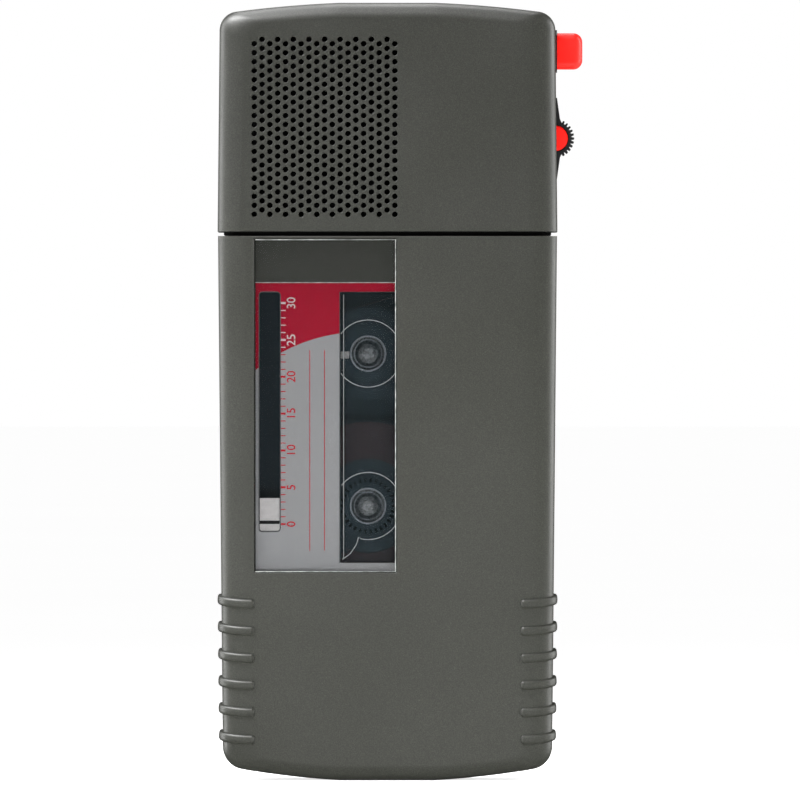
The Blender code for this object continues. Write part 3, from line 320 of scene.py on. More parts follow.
def make_finishes():
    return {
        "shell": shell_finish(),
        "black_plastic": moulded_finish("black_plastic", (0.016, 0.016, 0.017), 0.45),
        "cassette_plastic": moulded_finish("cassette_plastic", (0.030, 0.050, 0.066), 0.38),
        "dark_plastic": moulded_finish("dark_plastic", (0.004, 0.013, 0.022), 0.5, specular=0.2),
        # near-black matt: the groove's divider plate, and painted shade in the gaps between the
        # lower reel's teeth
        "near_black_and_painted_shade": moulded_finish("near_black_and_painted_shade", (0.002, 0.002, 0.002), 0.8, specular=0.05),
        "ledge_plastic": moulded_finish("ledge_plastic", (0.060, 0.061, 0.052), 0.6, 3000.0, 0.1,
                                        0.1, 0.3),
        "red_plastic": moulded_finish("red_plastic", (0.95, 0.012, 0.007), 0.45, 1800.0, 0.1,
                                      0.04, 0.25),
        "smoked_pane": clear_finish("smoked_pane", (0.006, 0.007, 0.007), 0.30, 0.08),
        "clear_plastic": clear_finish("clear_plastic", (0.04, 0.06, 0.07), 0.16, 0.12),
        "label_print": label_finish(),
        "red_ink": moulded_finish("red_ink", (0.70, 0.004, 0.025), 0.5, 1500.0, 0.05, 0.05),
        "white_ink": moulded_finish("white_ink", (0.80, 0.76, 0.76), 0.5, 1500.0, 0.05, 0.04),
        "pale_plastic": moulded_finish("pale_plastic", (0.72, 0.70, 0.70), 0.45, 1500.0, 0.1, 0.05),
        "hub_metal": moulded_finish("hub_metal", (0.46, 0.48, 0.50), 0.5, 2000.0, 0.3, 0.5),
        "steel": metal_finish("steel", (0.52, 0.52, 0.53), 0.34, (1.0, 1.0, 0.06)),
        "brass": metal_finish("brass", (0.72, 0.50, 0.20), 0.30),
        "rubber": moulded_finish("rubber", (0.020, 0.020, 0.021), 0.80, 1600.0, 0.4, 0.25),
        "tape_film": tape_finish(),
        "circuit_board": board_finish(),
        "speaker_paper": moulded_finish("speaker_paper", (0.022, 0.022, 0.024), 0.85, 900.0, 0.5,
                                        0.3),
        "cell_wrap": cell_finish(),
        # painted highlight: opaque pale grey for the clear window's moulded beads
        "bead_painted_highlight": moulded_finish("bead_painted_highlight", (0.62, 0.63, 0.64), 0.25),
        # painted highlight: pale grey for the lines along the pane's and the ledge's edges
        "pane_edge_painted_highlight": moulded_finish("pane_edge_painted_highlight", (0.32, 0.33, 0.32), 0.3, 900.0, 0.3, 0.5),
        "frame_plastic": moulded_finish("frame_plastic", (0.12, 0.13, 0.14), 0.35),
        # painted highlight: pale glossy grey for the rings round the reels' bores
        "hub_rim_painted_highlight": moulded_finish("hub_rim_painted_highlight", (0.50, 0.54, 0.60), 0.25),
    }


# Making pieces ----------------------------------------------------------------------------

def add_object(name, bm):
    bmesh.ops.recalc_face_normals(bm, faces=bm.faces)
    bm.transform(Matrix.Scale(MM, 4))
    mesh = bpy.data.meshes.new(name)
    bm.to_mesh(mesh)
    bm.free()
    obj = bpy.data.objects.new(name, mesh)
    bpy.context.scene.collection.objects.link(obj)
    return obj


def combine(target, operation, shapes):
    """Apply one exact Boolean for each bmesh in shapes."""
    for bm in shapes:
        tool = add_object("tool", bm)
        modifier = target.modifiers.new("boolean", "BOOLEAN")
        modifier.operation = operation
        modifier.solver = "EXACT"
        modifier.object = tool
        graph = bpy.context.evaluated_depsgraph_get()
        result = bpy.data.meshes.new_from_object(target.evaluated_get(graph))
        target.modifiers.clear()
        old, target.data = target.data, result
        bpy.data.meshes.remove(old)
        bpy.data.objects.remove(tool)


def cut(target, *shapes):
    combine(target, "DIFFERENCE", shapes)


def fuse(target, *shapes):
    combine(target, "UNION", shapes)


def keep_inside(target, *shapes):
    combine(target, "INTERSECT", shapes)


def finish_piece(obj, material, body, slot, *nodes, sharp=32.0):
    """Shade a piece, give it its finish, tie it to its body and hide the CAD nodes it replaces."""
    obj.data.materials.clear()
    obj.data.materials.append(material)
    obj.data.shade_smooth()
    obj.data.set_sharp_from_angle(angle=math.radians(sharp))
    weighted = obj.modifiers.new("weighted_normals", "WEIGHTED_NORMAL")
    weighted.keep_sharp = True
    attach(obj, body)
    if nodes:
        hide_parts(*nodes)
    return obj


def circle(centre, radius, steps=24, phase=0.0):
    return [(centre[0] + radius * math.cos(math.tau * step / steps + phase),
             centre[1] + radius * math.sin(math.tau * step / steps + phase))
            for step in range(steps)]


def rounded_rectangle(left, right, bottom, top, radius, steps=6):
    points = []
    corners = ((right - radius, bottom + radius, -90.0), (right - radius, top - radius, 0.0),
               (left + radius, top - radius, 90.0), (left + radius, bottom + radius, 180.0))
    for across, up, start in corners:
        for step in range(steps + 1):
            angle = math.radians(start + 90.0 * step / steps)
            points.append((across + radius * math.cos(angle), up + radius * math.sin(angle)))
    return points


def place(point, axis, along):
    """The 3-D point of a 2-D one drawn across an axis."""
    first, second = point
    return {"X": (along, first, second), "Y": (first, along, second),
            "Z": (first, second, along)}[axis]


def add_loft(bm, loops, closed=False):
    """Join loops of equal length into a solid; a closed loft returns to its first loop."""
    rings = [[bm.verts.new(point) for point in loop] for loop in loops]
    pairs = list(zip(rings, rings[1:]))
    if closed:
        pairs.append((rings[-1], rings[0]))
    for ring, following in pairs:
        for index in range(len(ring)):
            after = (index + 1) % len(ring)
            bm.faces.new((ring[index], ring[after], following[after], following[index]))
    if not closed:
        bm.faces.new(rings[0])
        bm.faces.new(rings[-1])


def loft(loops, closed=False):
    bm = bmesh.new()
    add_loft(bm, loops, closed)
    return bm


def prism(outline, axis, low, high):
    return loft([[place(point, axis, along) for point in outline] for along in (low, high)])


def box(left, right, front, back, bottom, top):
    return prism([(left, bottom), (right, bottom), (right, top), (left, top)],
                 "Y", front, back)


def cylinder(axis, centre, radius, low, high, steps=32):
    return prism(circle(centre, radius, steps), axis, low, high)


# The body's shells --------------------------------------------------------------------------

def half_width(height):
    return HALF_WIDTH - TAPER * abs(height - GROOVE_HIGH)


def end_curve(end, side_inset, end_inset):
    """Half of an arched end: (x, rise) from the middle flat's edge round to the side."""
    radius, corner = end
    width = HALF_WIDTH - side_inset
    arc = radius - end_inset
    flat_rise = radius - math.sqrt(radius ** 2 - (END_FLAT / 2.0) ** 2)
    corner_x = width - corner
    corner_up = math.sqrt((arc - corner) ** 2 - corner_x ** 2)
    lean = math.atan2(corner_x, corner_up)
    first = math.asin(END_FLAT / 2.0 / arc)
    points = []
    for step in range(ARC_STEPS + 1):
        angle = first + (lean - first) * step / ARC_STEPS
        points.append((arc * math.sin(angle), radius - arc * math.cos(angle) - flat_rise))
    for step in range(1, CORNER_STEPS + 1):
        angle = lean + (math.pi / 2.0 - lean) * step / CORNER_STEPS
        points.append((corner_x + corner * math.sin(angle),
                       radius - corner_up - corner * math.cos(angle) - flat_rise))
    return points


def body_outline(upper, side_inset, end_inset, groove_height):
    """The outline of the upper or lower half, open at the groove, as (x, z) points."""
    end = TOP_END if upper else FOOT_END
    curve = end_curve(end, side_inset, end_inset)
    half = [(x, HEIGHT - rise if upper else rise) for x, rise in curve]
    half.append((HALF_WIDTH - side_inset, groove_height))
    loop = half[::-1] + [(-x, z) for x, z in half]
    return [(x * half_width(z) / HALF_WIDTH, z) for x, z in loop]


def rim_inset(depth, rim):
    """How far a rounded rim lies inside its edge at a depth below the face."""
    return 0.0 if depth >= rim else rim - math.sqrt(rim ** 2 - (rim - depth) ** 2)


def edge_layers(edge, plane, inward, grow=0.0):
    """(y, side inset, end inset, depth) from a rounded edge's outer plane inwards."""
    side, end, depth = edge
    layers = []
    for step in range(EDGE_STEPS + 1):
        angle = math.pi / 2.0 * (step / EDGE_STEPS) ** 1.25
        below = depth * (1.0 - math.cos(angle))
        layers.append((plane + inward * (below - grow), side * (1.0 - math.sin(angle)) - grow,
                       end * (1.0 - math.sin(angle)) - grow, below))
    return layers


def cover_solid(upper, front, groove_height):
    """A solid cover shape with its outer edges, groove edge and seam edge rounded."""
    edge, plane, inward = (FRONT_EDGE, FRONT, 1.0) if front else (BACK_EDGE, BACK, -1.0)
    towards_body = 1.0 if upper else -1.0
    loops = []
    for y, side, end, below in edge_layers(edge, plane, inward):
        groove = groove_height + towards_body * rim_inset(below, RIM)
        loops.append([(x, y, z) for x, z in body_outline(upper, side, end, groove)])
    seam = SEAM_Y - inward * SEAM_GAP / 2.0
    for step in range(4):
        angle = math.pi / 2.0 * step / 3.0
        inset = SEAM_RIM * (1.0 - math.cos(angle))
        y = seam - inward * SEAM_RIM * (1.0 - math.sin(angle))
        loops.append([(x, y, z) for x, z in body_outline(upper, inset, inset, groove_height)])
    return loft(loops)


def cavity(upper, front, back, open_end):
    """The hollow inside a cover, running out past its open side and past the groove."""
    layers = ((front, WALL + 1.0, WALL + 0.6), (front + 1.2, WALL, WALL),
              (back - 1.2, WALL, WALL), (back, WALL + 1.0, WALL + 0.6))
    return loft([[(x, y, z) for x, z in body_outline(upper, side, end, open_end)]
                 for y, side, end in layers])


def screw_boss(centre, radius, front, back):
    return cylinder("Y", centre, radius, front, back, 24)


def screw_bore(centre, front, back):
    return cylinder("Y", centre, SCREW_RADIUS + RUNNING_GAP, front, back, 16)


def add_rear_screw(cover, centre, boss_front, bore_front, bore_back):
    """A boss inside a rear cover, with a bore and a recess for the screw's head."""
    fuse(cover, screw_boss(centre, REAR_BOSS, boss_front, BACK - WALL + 0.4))
    cut(cover, screw_bore(centre, bore_front, bore_back),
        cylinder("Y", centre, SCREW_HEAD_RADIUS + RUNNING_GAP, 6.0, BEYOND, 32))


def speaker_holes():
    """All the grille's holes as one mesh of flared plugs."""
    bm = bmesh.new()
    wide = HOLE_RADIUS + HOLE_CHAMFER
    sections = ((-0.2, wide), (0.0, wide), (HOLE_CHAMFER * 0.4, HOLE_RADIUS + 0.03),
                (HOLE_CHAMFER, HOLE_RADIUS), (WALL + 0.3, HOLE_RADIUS))
    for column in range(HOLE_COLUMNS):
        top = EVEN_TOP if column % 2 else ODD_TOP
        for row in range(HOLE_ROWS):
            centre = (HOLE_LEFT + column * COLUMN_PITCH, top - row * ROW_PITCH)
            add_loft(bm, [[place(point, "Y", FRONT + depth)
                           for point in circle(centre, radius, 12, math.pi / 12.0)]
                          for depth, radius in sections])
    return bm


def make_upper_front_cover(finishes):
    """The grille cover, with bosses for the upper screws."""
    cover = add_object("front_cover_upper", cover_solid(True, True, GROOVE_HIGH))
    cut(cover, cavity(True, FRONT + WALL, 4.0, GROOVE_HIGH - 4.0))
    for centre in UPPER_SCREWS:
        fuse(cover, screw_boss(centre, FRONT_BOSS, FRONT + WALL - 0.4, SEAM_Y - 0.3))
        cut(cover, screw_bore(centre, FRONT + 2.6, 0.0))
    cut(cover, speaker_holes())
    finish_piece(cover, finishes["shell"], "housing", "shell", "upper_front_cover")


def control_opening(margin):
    return box(26.0, 30.0, CONTROL_Y - 4.1 - margin, CONTROL_Y + 4.4 + margin,
               SLIDE_Z - 11.6 - margin, SLIDE_Z + 10.4 + margin)


def collar_outline(margin):
    half_depth, half_height = BUTTON_DEPTH / 2.0 + margin, BUTTON_HEIGHT / 2.0 + margin
    return rounded_rectangle(CONTROL_Y - half_depth, CONTROL_Y + half_depth,
                             BUTTON_Z - half_height, BUTTON_Z + half_height,
                             1.2 + margin, 6)


def top_hole(x, radius, steps):
    return cylinder("Z", (x, TOP_ROW_Y), radius, HEIGHT - 7.0, HEIGHT + 1.0, steps)


def make_upper_rear_cover(finishes):
    cover = add_object("rear_cover_upper", cover_solid(True, False, GROOVE_HIGH))
    cut(cover, cavity(True, -8.0, BACK - WALL, GROOVE_HIGH - 4.0))
    for centre in UPPER_SCREWS:
        add_rear_screw(cover, centre, SEAM_Y + 0.3, -6.0, 8.0)
    cut(cover, control_opening(0.2), prism(collar_outline(0.75), "X", 26.0, 30.0),
        box(-30.0, -26.0, VOLUME_Y - 1.6, VOLUME_Y + 1.6, VOLUME_Z - 5.6, VOLUME_Z + 5.6),
        top_hole(MICROPHONE_X, MICROPHONE_HOLE, 24), top_hole(LAMP_X, LAMP_HOLE, 24),
        top_hole(SOCKET_X, SOCKET_HOLE, 32))
    finish_piece(cover, finishes["shell"], "housing", "shell", "upper_rear_cover")


def hinge_eye(left, right):
    return cylinder("X", (HINGE_Y, HINGE_Z), HINGE_EYE_RADIUS, left, right, 32)


def lower_profile():
    """A block in the outline of the lower half, which nothing on it may stand out of."""
    return prism(body_outline(False, 0.0, 0.0, GROOVE_LOW + 4.0), "Y", -BEYOND, BEYOND)


def hinge_hole():
    return cylinder("X", (HINGE_Y, HINGE_Z), HINGE_PIN_RADIUS + RUNNING_GAP, -25.4, 25.4, 24)


def make_lower_rear_cover(finishes):
    cover = add_object("rear_cover_lower", cover_solid(False, False, GROOVE_LOW))
    cut(cover, cavity(False, -8.0, BACK - WALL, GROOVE_LOW + 4.0),
        box(-30.0, 30.0, -8.0, HINGE_Y + 1.1, -1.0, 4.6))
    for side in (-1.0, 1.0):
        inner, outer = sorted((side * 19.7, side * 24.3))
        cut(cover, box(inner, outer, -8.0, HINGE_Y + 1.6, -1.0, 4.6))
        inner, outer = sorted((side * 14.0, side * 18.0))
        fuse(cover, hinge_eye(inner, outer),
             box(inner, outer, HINGE_Y, HINGE_Y + 1.6, HINGE_Z - 0.5, HINGE_Z + 1.25),
             box(inner, outer, HINGE_Y + 1.15, HINGE_Y + 2.4, 0.6, HINGE_Z + 1.25))
    keep_inside(cover, lower_profile())
    cut(cover, hinge_hole())
    for centre in LOWER_SCREWS:
        add_rear_screw(cover, centre, 1.3, -2.0, 9.0)
    half_opening = DOOR_HALF_WIDTH + DOOR_GAP
    cut(cover, box(-half_opening, half_opening, 9.0, BEYOND, -1.0, DOOR_TOP + DOOR_GAP),
        box(-30.0, -26.0, 4.8, 9.2, 76.5, 88.3))
    finish_piece(cover, finishes["shell"], "housing", "shell", "lower_rear_cover")


def make_battery_door(finishes):
    door = add_object("battery_cover", cover_solid(False, False, 60.0))
    keep_inside(door, box(-DOOR_HALF_WIDTH, DOOR_HALF_WIDTH, DOOR_INNER_Y, BEYOND, -1.0,
                          DOOR_TOP))
    for number in range(DOOR_GRIPS):
        low = GRIP_LOW + GRIP_PITCH * number
        cut(door, prism(rounded_rectangle(-6.0, 6.0, low, low + 1.0, 0.45), "Y", 11.6, BEYOND))
    finish_piece(door, finishes["shell"], "battery_door", "shell", "battery_door")


# The cassette lid ----------------------------------------------------------------------------

def rib_path(side, height):
    """(point, outward direction) along a rib, from its inner end round to the seam."""
    edge_side, _, edge_depth = FRONT_EDGE
    width = half_width(height)
    path = [(Vector((side * x, FRONT, 0.0)), Vector((0.0, -1.0, 0.0)))
            for x in (RIB_INNER_X, RIB_INNER_X + 0.15, RIB_INNER_X + 0.4, width - edge_side)]
    for step in range(1, 11):
        angle = math.pi / 2.0 * step / 10.0
        point = Vector((side * (width - edge_side * (1.0 - math.sin(angle))),
                        FRONT + edge_depth * (1.0 - math.cos(angle)), 0.0))
        outward = Vector((side * edge_depth * math.sin(angle),
                          -edge_side * math.cos(angle), 0.0)).normalized()
        path.append((point, outward))
    for y in (-8.0, -6.5, -5.2, SEAM_Y - SEAM_GAP / 2.0 - 0.05):
        path.append((Vector((side * width, y, 0.0)), Vector((side, 0.0, 0.0))))
    return path


def rib_section():
    """(along the outward direction, upward) points of a rib's rounded section."""
    half, power = RIB_HEIGHT / 2.0, 3.0
    points = [(-0.4, half), (-0.4, -half)]
    for step in range(1, 14):
        angle = math.pi * (step / 14.0 - 0.5)
        up = math.copysign(abs(math.sin(angle)) ** (2.0 / power), math.sin(angle)) * half
        points.append((RIB_RISE * math.cos(angle) ** (2.0 / power), up))
    return points


def rib_shape(side, number):
    """One rib as a loft whose inner end is rounded and whose outer end sweeps upwards."""
    middle = RIB_TOP - number * RIB_PITCH - RIB_HEIGHT / 2.0
    path = rib_path(side, middle)
    growth = (0.45, 0.8, 1.0)
    loops = []
    for index, (point, outward) in enumerate(path):
        size = growth[index] if index < len(growth) else 1.0
        turn = max(0.0, (index - 3) / (len(path) - 4))
        lift = RIB_SWEEP * turn * turn * (3.0 - 2.0 * turn)
        loops.append([point + outward * (out * size if out > 0.0 else out)
                      + Vector((0.0, 0.0, middle + lift + up * size))
                      for out, up in rib_section()])
    return loft(loops)


def add_lid_fittings(lid):
    """Hinge eyes and the rails that hold the cassette."""
    for side in (-1.0, 1.0):
        inner, outer = sorted((side * 20.0, side * 24.0))
        fuse(lid, hinge_eye(inner, outer),
             box(inner, outer, LID_INNER_Y - 0.4, HINGE_Y, HINGE_Z - 1.15, HINGE_Z + 1.15))
    rails = ((-25.2, -24.1, -22.9, 31.0, 86.0), (19.6, 18.5, 17.3, 31.0, 39.0),
             (19.6, 18.5, 17.3, 79.0, 88.0))
    for outside, inside, lip, low, high in rails:
        fuse(lid, box(min(outside, inside), max(outside, inside), LID_INNER_Y - 0.4, -0.6,
                      low, high),
             box(min(outside, lip), max(outside, lip), CASSETTE_FRONT + 8.3, -0.6, low, high))
    fuse(lid, box(-27.6, -25.6, -7.0, -5.6, 88.2, 89.4),
         box(-26.4, -25.6, -7.0, -2.0, 88.2, 89.4))


def pane_recess():
    """The stepped recess, wider at the face so that its edge catches the light."""
    left, right, bottom, top = PANE
    sections = ((-0.5, 0.16), (0.0, 0.16), (0.16, 0.0), (PANE_FLOOR_Y - FRONT, 0.0))
    return loft([[place(point, "Y", FRONT + depth)
                  for point in rounded_rectangle(left - wide, right + wide, bottom - wide,
                                                 top + min(wide, 0.05), 0.25 + wide, 3)]
                 for depth, wide in sections])


def make_cassette_lid(finishes):
    lid = add_object("lid_shell", cover_solid(False, True, GROOVE_LOW))
    cut(lid, cavity(False, FRONT + WALL + 0.2, 4.0, GROOVE_LOW - WALL),
        box(-24.6, 24.6, HINGE_Y - 1.7, 0.0, -1.0, HINGE_Z + 2.3))
    add_lid_fittings(lid)
    keep_inside(lid, lower_profile())
    left, right, bottom, _ = PANE
    cut(lid, hinge_hole(), pane_recess(),
        box(left + PANE_RIM, right - PANE_RIM, -BEYOND, -8.0, bottom + PANE_RIM, LEDGE_Z))
    finish_piece(lid, finishes["shell"], "lid", "shell", "cassette_lid")


def make_grip_ribs(finishes):
    """The ribs on both sides of the lid, rooted in its wall."""
    ribs = bmesh.new()
    for side in (-1.0, 1.0):
        for number in range(RIB_COUNT):
            add_bmesh(ribs, rib_shape(side, number))
    finish_piece(add_object("grip_ribs", ribs), finishes["shell"], "lid", "shell")


def add_bmesh(target, source):
    mesh = bpy.data.meshes.new("joined")
    source.to_mesh(mesh)
    source.free()
    target.from_mesh(mesh)
    bpy.data.meshes.remove(mesh)


def make_window_pane(finishes):
    """The smoked pane, with polished chamfers round its front face."""
    left, right, bottom, top = PANE
    front, back = FRONT + 0.08, PANE_FLOOR_Y - 0.1
    sections = ((front, 0.28), (front + 0.16, 0.0), (back, 0.0))
    loops = [[place(point, "Y", y)
              for point in rounded_rectangle(left + 0.1 + inset, right - 0.1 - inset,
                                             bottom + 0.1 + inset, top - 0.1 - inset, 0.3, 4)]
             for y, inset in sections]
    pane = add_object("smoked_window", loft(loops))
    finish_piece(pane, finishes["smoked_pane"], "lid", "smoked_pane", "window_pane")
    backing = add_object("pane_backing", box(left + 0.2, right - 0.2, PANE_FLOOR_Y - 0.08,
                                             PANE_FLOOR_Y - 0.02, LEDGE_Z + 0.05, top - 0.2))
    finish_piece(backing, finishes["ledge_plastic"], "lid", "shell")


# The cassette --------------------------------------------------------------------------------

def make_label(finishes):
    left, right, bottom, top = CASSETTE
    outline = rounded_rectangle(left + LABEL_MARGIN, right - LABEL_MARGIN,
                                bottom + LABEL_MARGIN, top - LABEL_MARGIN, 1.2)
    label = add_object("printed_label", prism(outline, "Y", LABEL_FRONT, LABEL_BACK))
    cut(label, prism(rounded_rectangle(*INDEX_SLOT, SLOT_CORNER), "Y", FRONT, -8.0),
        prism(rounded_rectangle(*CLEAR_WINDOW, WINDOW_CORNER), "Y", FRONT, -8.0))
    finish_piece(label, finishes["label_print"], "lid", "label_print", "cassette_label")


def on_silver(x, z):
    return math.hypot(x - SUN_X, z - SUN_Z) < SUN_RADIUS


def numeral(text, x, z):
    """A thin raised number that reads upwards, centred on a point of the label."""
    curve = bpy.data.curves.new(f"numeral_{text}", "FONT")
    curve.body = text
    curve.size = NUMERAL_SIZE * MM
    curve.align_x = "CENTER"
    curve.align_y = "CENTER"
    curve.extrude = NUMERAL_THICKNESS * MM
    curve.offset = NUMERAL_OFFSET * MM
    obj = bpy.data.objects.new(f"numeral_{text}", curve)
    bpy.context.scene.collection.objects.link(obj)
    graph = bpy.context.evaluated_depsgraph_get()
    bm = bmesh.new()
    mesh = bpy.data.meshes.new_from_object(obj.evaluated_get(graph))
    bm.from_mesh(mesh)
    bpy.data.objects.remove(obj)
    bm.transform(Matrix.Scale(1.0 / MM, 4))
    upright = Matrix(((0.0, -1.0, 0.0, x), (0.0, 0.0, -1.0, LABEL_FRONT - INK_RISE),
                      (1.0, 0.0, 0.0, z), (0.0, 0.0, 0.0, 1.0)))
    bm.transform(upright)
    return bm


def make_index_scale(finishes):
    """Ticks and numbers from 0 to 30, red on silver and white on red, and two ruled lines."""
    inks = {"red": bmesh.new(), "white": bmesh.new()}
    low_y, high_y = LABEL_FRONT - INK_RISE, LABEL_FRONT + INK_RISE
    for value in range(SCALE_END + 1):
        z = SCALE_ZERO_Z + value * SCALE_PITCH
        numbered = value % NUMBERED_EVERY == 0
        half = LONG_TICK if numbered else SHORT_TICK
        ink = inks["red" if on_silver(TICK_LEFT, z) else "white"]
        add_bmesh(ink, box(TICK_LEFT, TICK_RIGHT, low_y, high_y, z - half, z + half))
        if numbered:
            ink = inks["red" if on_silver(NUMERAL_X, z) else "white"]
            add_bmesh(ink, numeral(str(value), NUMERAL_X, z))
    for x in RULED_LINES_X:
        add_bmesh(inks["red"], box(x - 0.06, x + 0.06, low_y, high_y, RULED_LOW, RULED_HIGH))
    for name, bm in inks.items():
        piece = add_object(f"index_print_{name}", bm)
        finish_piece(piece, finishes[f"{name}_ink"], "lid", "label_print")


def swept_line(points, radius, closed=False):
    """A thin round bead along points in the plane of the front."""
    loops = []
    count = len(points)
    for index, point in enumerate(points):
        before = points[index - 1] if index or closed else point
        after = points[(index + 1) % count] if index < count - 1 or closed else point
        along = Vector((after[0] - before[0], 0.0, after[2] - before[2])).normalized()
        across = Vector((along.z, 0.0, -along.x))
        loops.append([Vector(point) + across * radius * math.cos(math.tau * step / 8)
                      + Vector((0.0, radius * math.sin(math.tau * step / 8), 0.0))
                      for step in range(8)])
    return loft(loops, closed)


def bead_arc(centre_z, y, first, last):
    """Points of the bead about a hub between two angles in degrees, from the right."""
    angles = [math.radians(angle) for angle in range(first, last + 1, BEAD_STEP)]
    return [(HUB_X + BEAD_RADIUS * math.cos(angle), y, centre_z + BEAD_RADIUS * math.sin(angle))
            for angle in angles]


def make_window_mouldings(finishes):
    """Beads moulded on the cassette's clear window: a ring at each hub and an edge line. Their
    opaque pale grey is a painted highlight for the light the clear beads catch.
    """
    left, _, bottom, top = CLEAR_WINDOW
    y = CASSETTE_FRONT + 0.1
    edge_x = left + 0.65
    beads = bmesh.new()
    add_bmesh(beads, swept_line(bead_arc(UPPER_HUB_Z, y, -144, 144), 0.07))
    tail = [(edge_x - 0.2, y, bottom + 0.6), (HUB_X - 3.0, y, bottom + 1.6),
            (HUB_X - 2.0, y, bottom + 3.1), (HUB_X - 1.6, y, bottom + 4.4)]
    add_bmesh(beads, swept_line(tail + bead_arc(LOWER_HUB_Z, y, -102, 144), 0.07))
    add_bmesh(beads, swept_line([(edge_x, y, bottom + 0.8), (edge_x, y, top - 0.5)], 0.06))
    piece = add_object("window_beads", beads)
    finish_piece(piece, finishes["bead_painted_highlight"], "lid", "clear_plastic")


def ring_bead(centre_z, radius, y, thickness):
    """A round bead in a circle about a hub."""
    points = [place(point, "Y", y) for point in circle((HUB_X, centre_z), radius, 64)]
    return swept_line(points, thickness, closed=True)


def make_pane_edges(finishes):
    """Painted highlights: pale lines laid along the pane's edges and along the ledge's lower edge,
    standing in for the light that these edges catch.
    """
    left, right, bottom, top = PANE
    inset, y, ledge_y = 0.24, FRONT + 0.12, PANE_FLOOR_Y - 0.12
    corners = ((left + inset, top - inset), (right - inset, top - inset),
               (right - inset, bottom + inset), (left + inset, bottom + inset))
    lines = swept_line([place(corner, "Y", y) for corner in corners], 0.075)
    add_bmesh(lines, swept_line([(left + inset, ledge_y, LEDGE_Z + 0.1),
                                 (right - inset, ledge_y, LEDGE_Z + 0.1)], 0.07))
    finish_piece(add_object("pane_edge_highlights", lines), finishes["pane_edge_painted_highlight"], "lid",
                 "smoked_pane")


def make_slot_frame(finishes):
    """Moulded edges of the index slot and of the clear window, standing out of the label."""
    y = LABEL_FRONT - 0.02
    left, right, bottom, top = CLEAR_WINDOW
    outline = rounded_rectangle(*INDEX_SLOT, SLOT_CORNER)
    lines = swept_line([place(point, "Y", y) for point in outline], 0.09, True)
    add_bmesh(lines, swept_line([(left, y, bottom), (left, y, top), (right, y, top)], 0.07))
    finish_piece(add_object("slot_frame", lines), finishes["frame_plastic"], "lid",
                 "label_print")


def make_hub_details(finishes):
    """A pale ring round the bore of each reel, a painted highlight for the light that the glossy
    black hub catches, and the upper reel's pale index block.
    """
    for body, centre_z in (("upper_reel", UPPER_HUB_Z), ("lower_reel", LOWER_HUB_Z)):
        rims = bmesh.new()
        for radius, thickness in ((HUB_BORE + 0.05, 0.16), (HUB_BORE - 0.55, 0.07)):
            add_bmesh(rims, ring_bead(centre_z, radius, REEL_FRONT, thickness))
        rim = add_object(f"{body}_rim", rims)
        finish_piece(rim, finishes["hub_rim_painted_highlight"], body, "black_plastic")
    block = add_object("index_block", prism(rounded_rectangle(-7.95, -6.5, UPPER_HUB_Z - 0.85,
                                                              UPPER_HUB_Z + 0.35, 0.1),
                                            "Y", REEL_FRONT - 0.2, REEL_INSIDE))
    finish_piece(block, finishes["pale_plastic"], "upper_reel", "pale_plastic")
    line = add_object("pointer_line", box(INDEX_SLOT[0] + 0.12, INDEX_SLOT[1] - 0.12, -9.49,
                                          -9.3, INDEX_SLOT[2] + 1.32, INDEX_SLOT[2] + 1.88))
    finish_piece(line, finishes["black_plastic"], "index_pointer", "black_plastic")


def make_gear_notches(finishes):
    """Painted shade: near-black blocks set in the gaps between the teeth round the lower reel,
    where the shade falls.
    """
    # Each gap's corners as (radius, angle in radians from its middle).
    corners = ((4.0, -0.045), (4.75, -0.055), (4.75, 0.055), (4.0, 0.045))
    notch_shade = bmesh.new()
    for number in range(NOTCH_COUNT):
        turn = math.tau * number / NOTCH_COUNT
        outline = [(HUB_X + radius * math.cos(turn + swing),
                    LOWER_HUB_Z + radius * math.sin(turn + swing)) for radius, swing in corners]
        add_bmesh(notch_shade, prism(outline, "Y", REEL_FRONT - 0.06, REEL_INSIDE))
    finish_piece(add_object("gear_notch_shade", notch_shade), finishes["near_black_and_painted_shade"], "lower_reel",
                 "black_plastic")


# Controls ------------------------------------------------------------------------------------

def make_record_button(finishes):
    """A rounded red block on a stem that reaches the switch."""
    radius = 1.5
    layers = [(27.2, 0.0), (BUTTON_END_X - radius, 0.0)]
    for step in range(1, 10):
        angle = math.pi / 2.0 * step / 9.0
        layers.append((BUTTON_END_X - radius + radius * math.sin(angle),
                       radius * (1.0 - math.cos(angle))))
    loops = []
    for x, inset in layers:
        half_depth, half_height = BUTTON_DEPTH / 2.0 - inset, BUTTON_HEIGHT / 2.0 - inset
        outline = rounded_rectangle(CONTROL_Y - half_depth, CONTROL_Y + half_depth,
                                    BUTTON_Z - half_height, BUTTON_Z + half_height, 1.2, 8)
        loops.append([place(point, "X", x) for point in outline])
    button = add_object("red_button", loft(loops))
    fuse(button, box(23.5, 27.8, CONTROL_Y - 1.5, CONTROL_Y + 1.5, BUTTON_Z - 1.5,
                     BUTTON_Z + 1.5))
    finish_piece(button, finishes["red_plastic"], "record_button", "red_plastic",
                 "record_button")


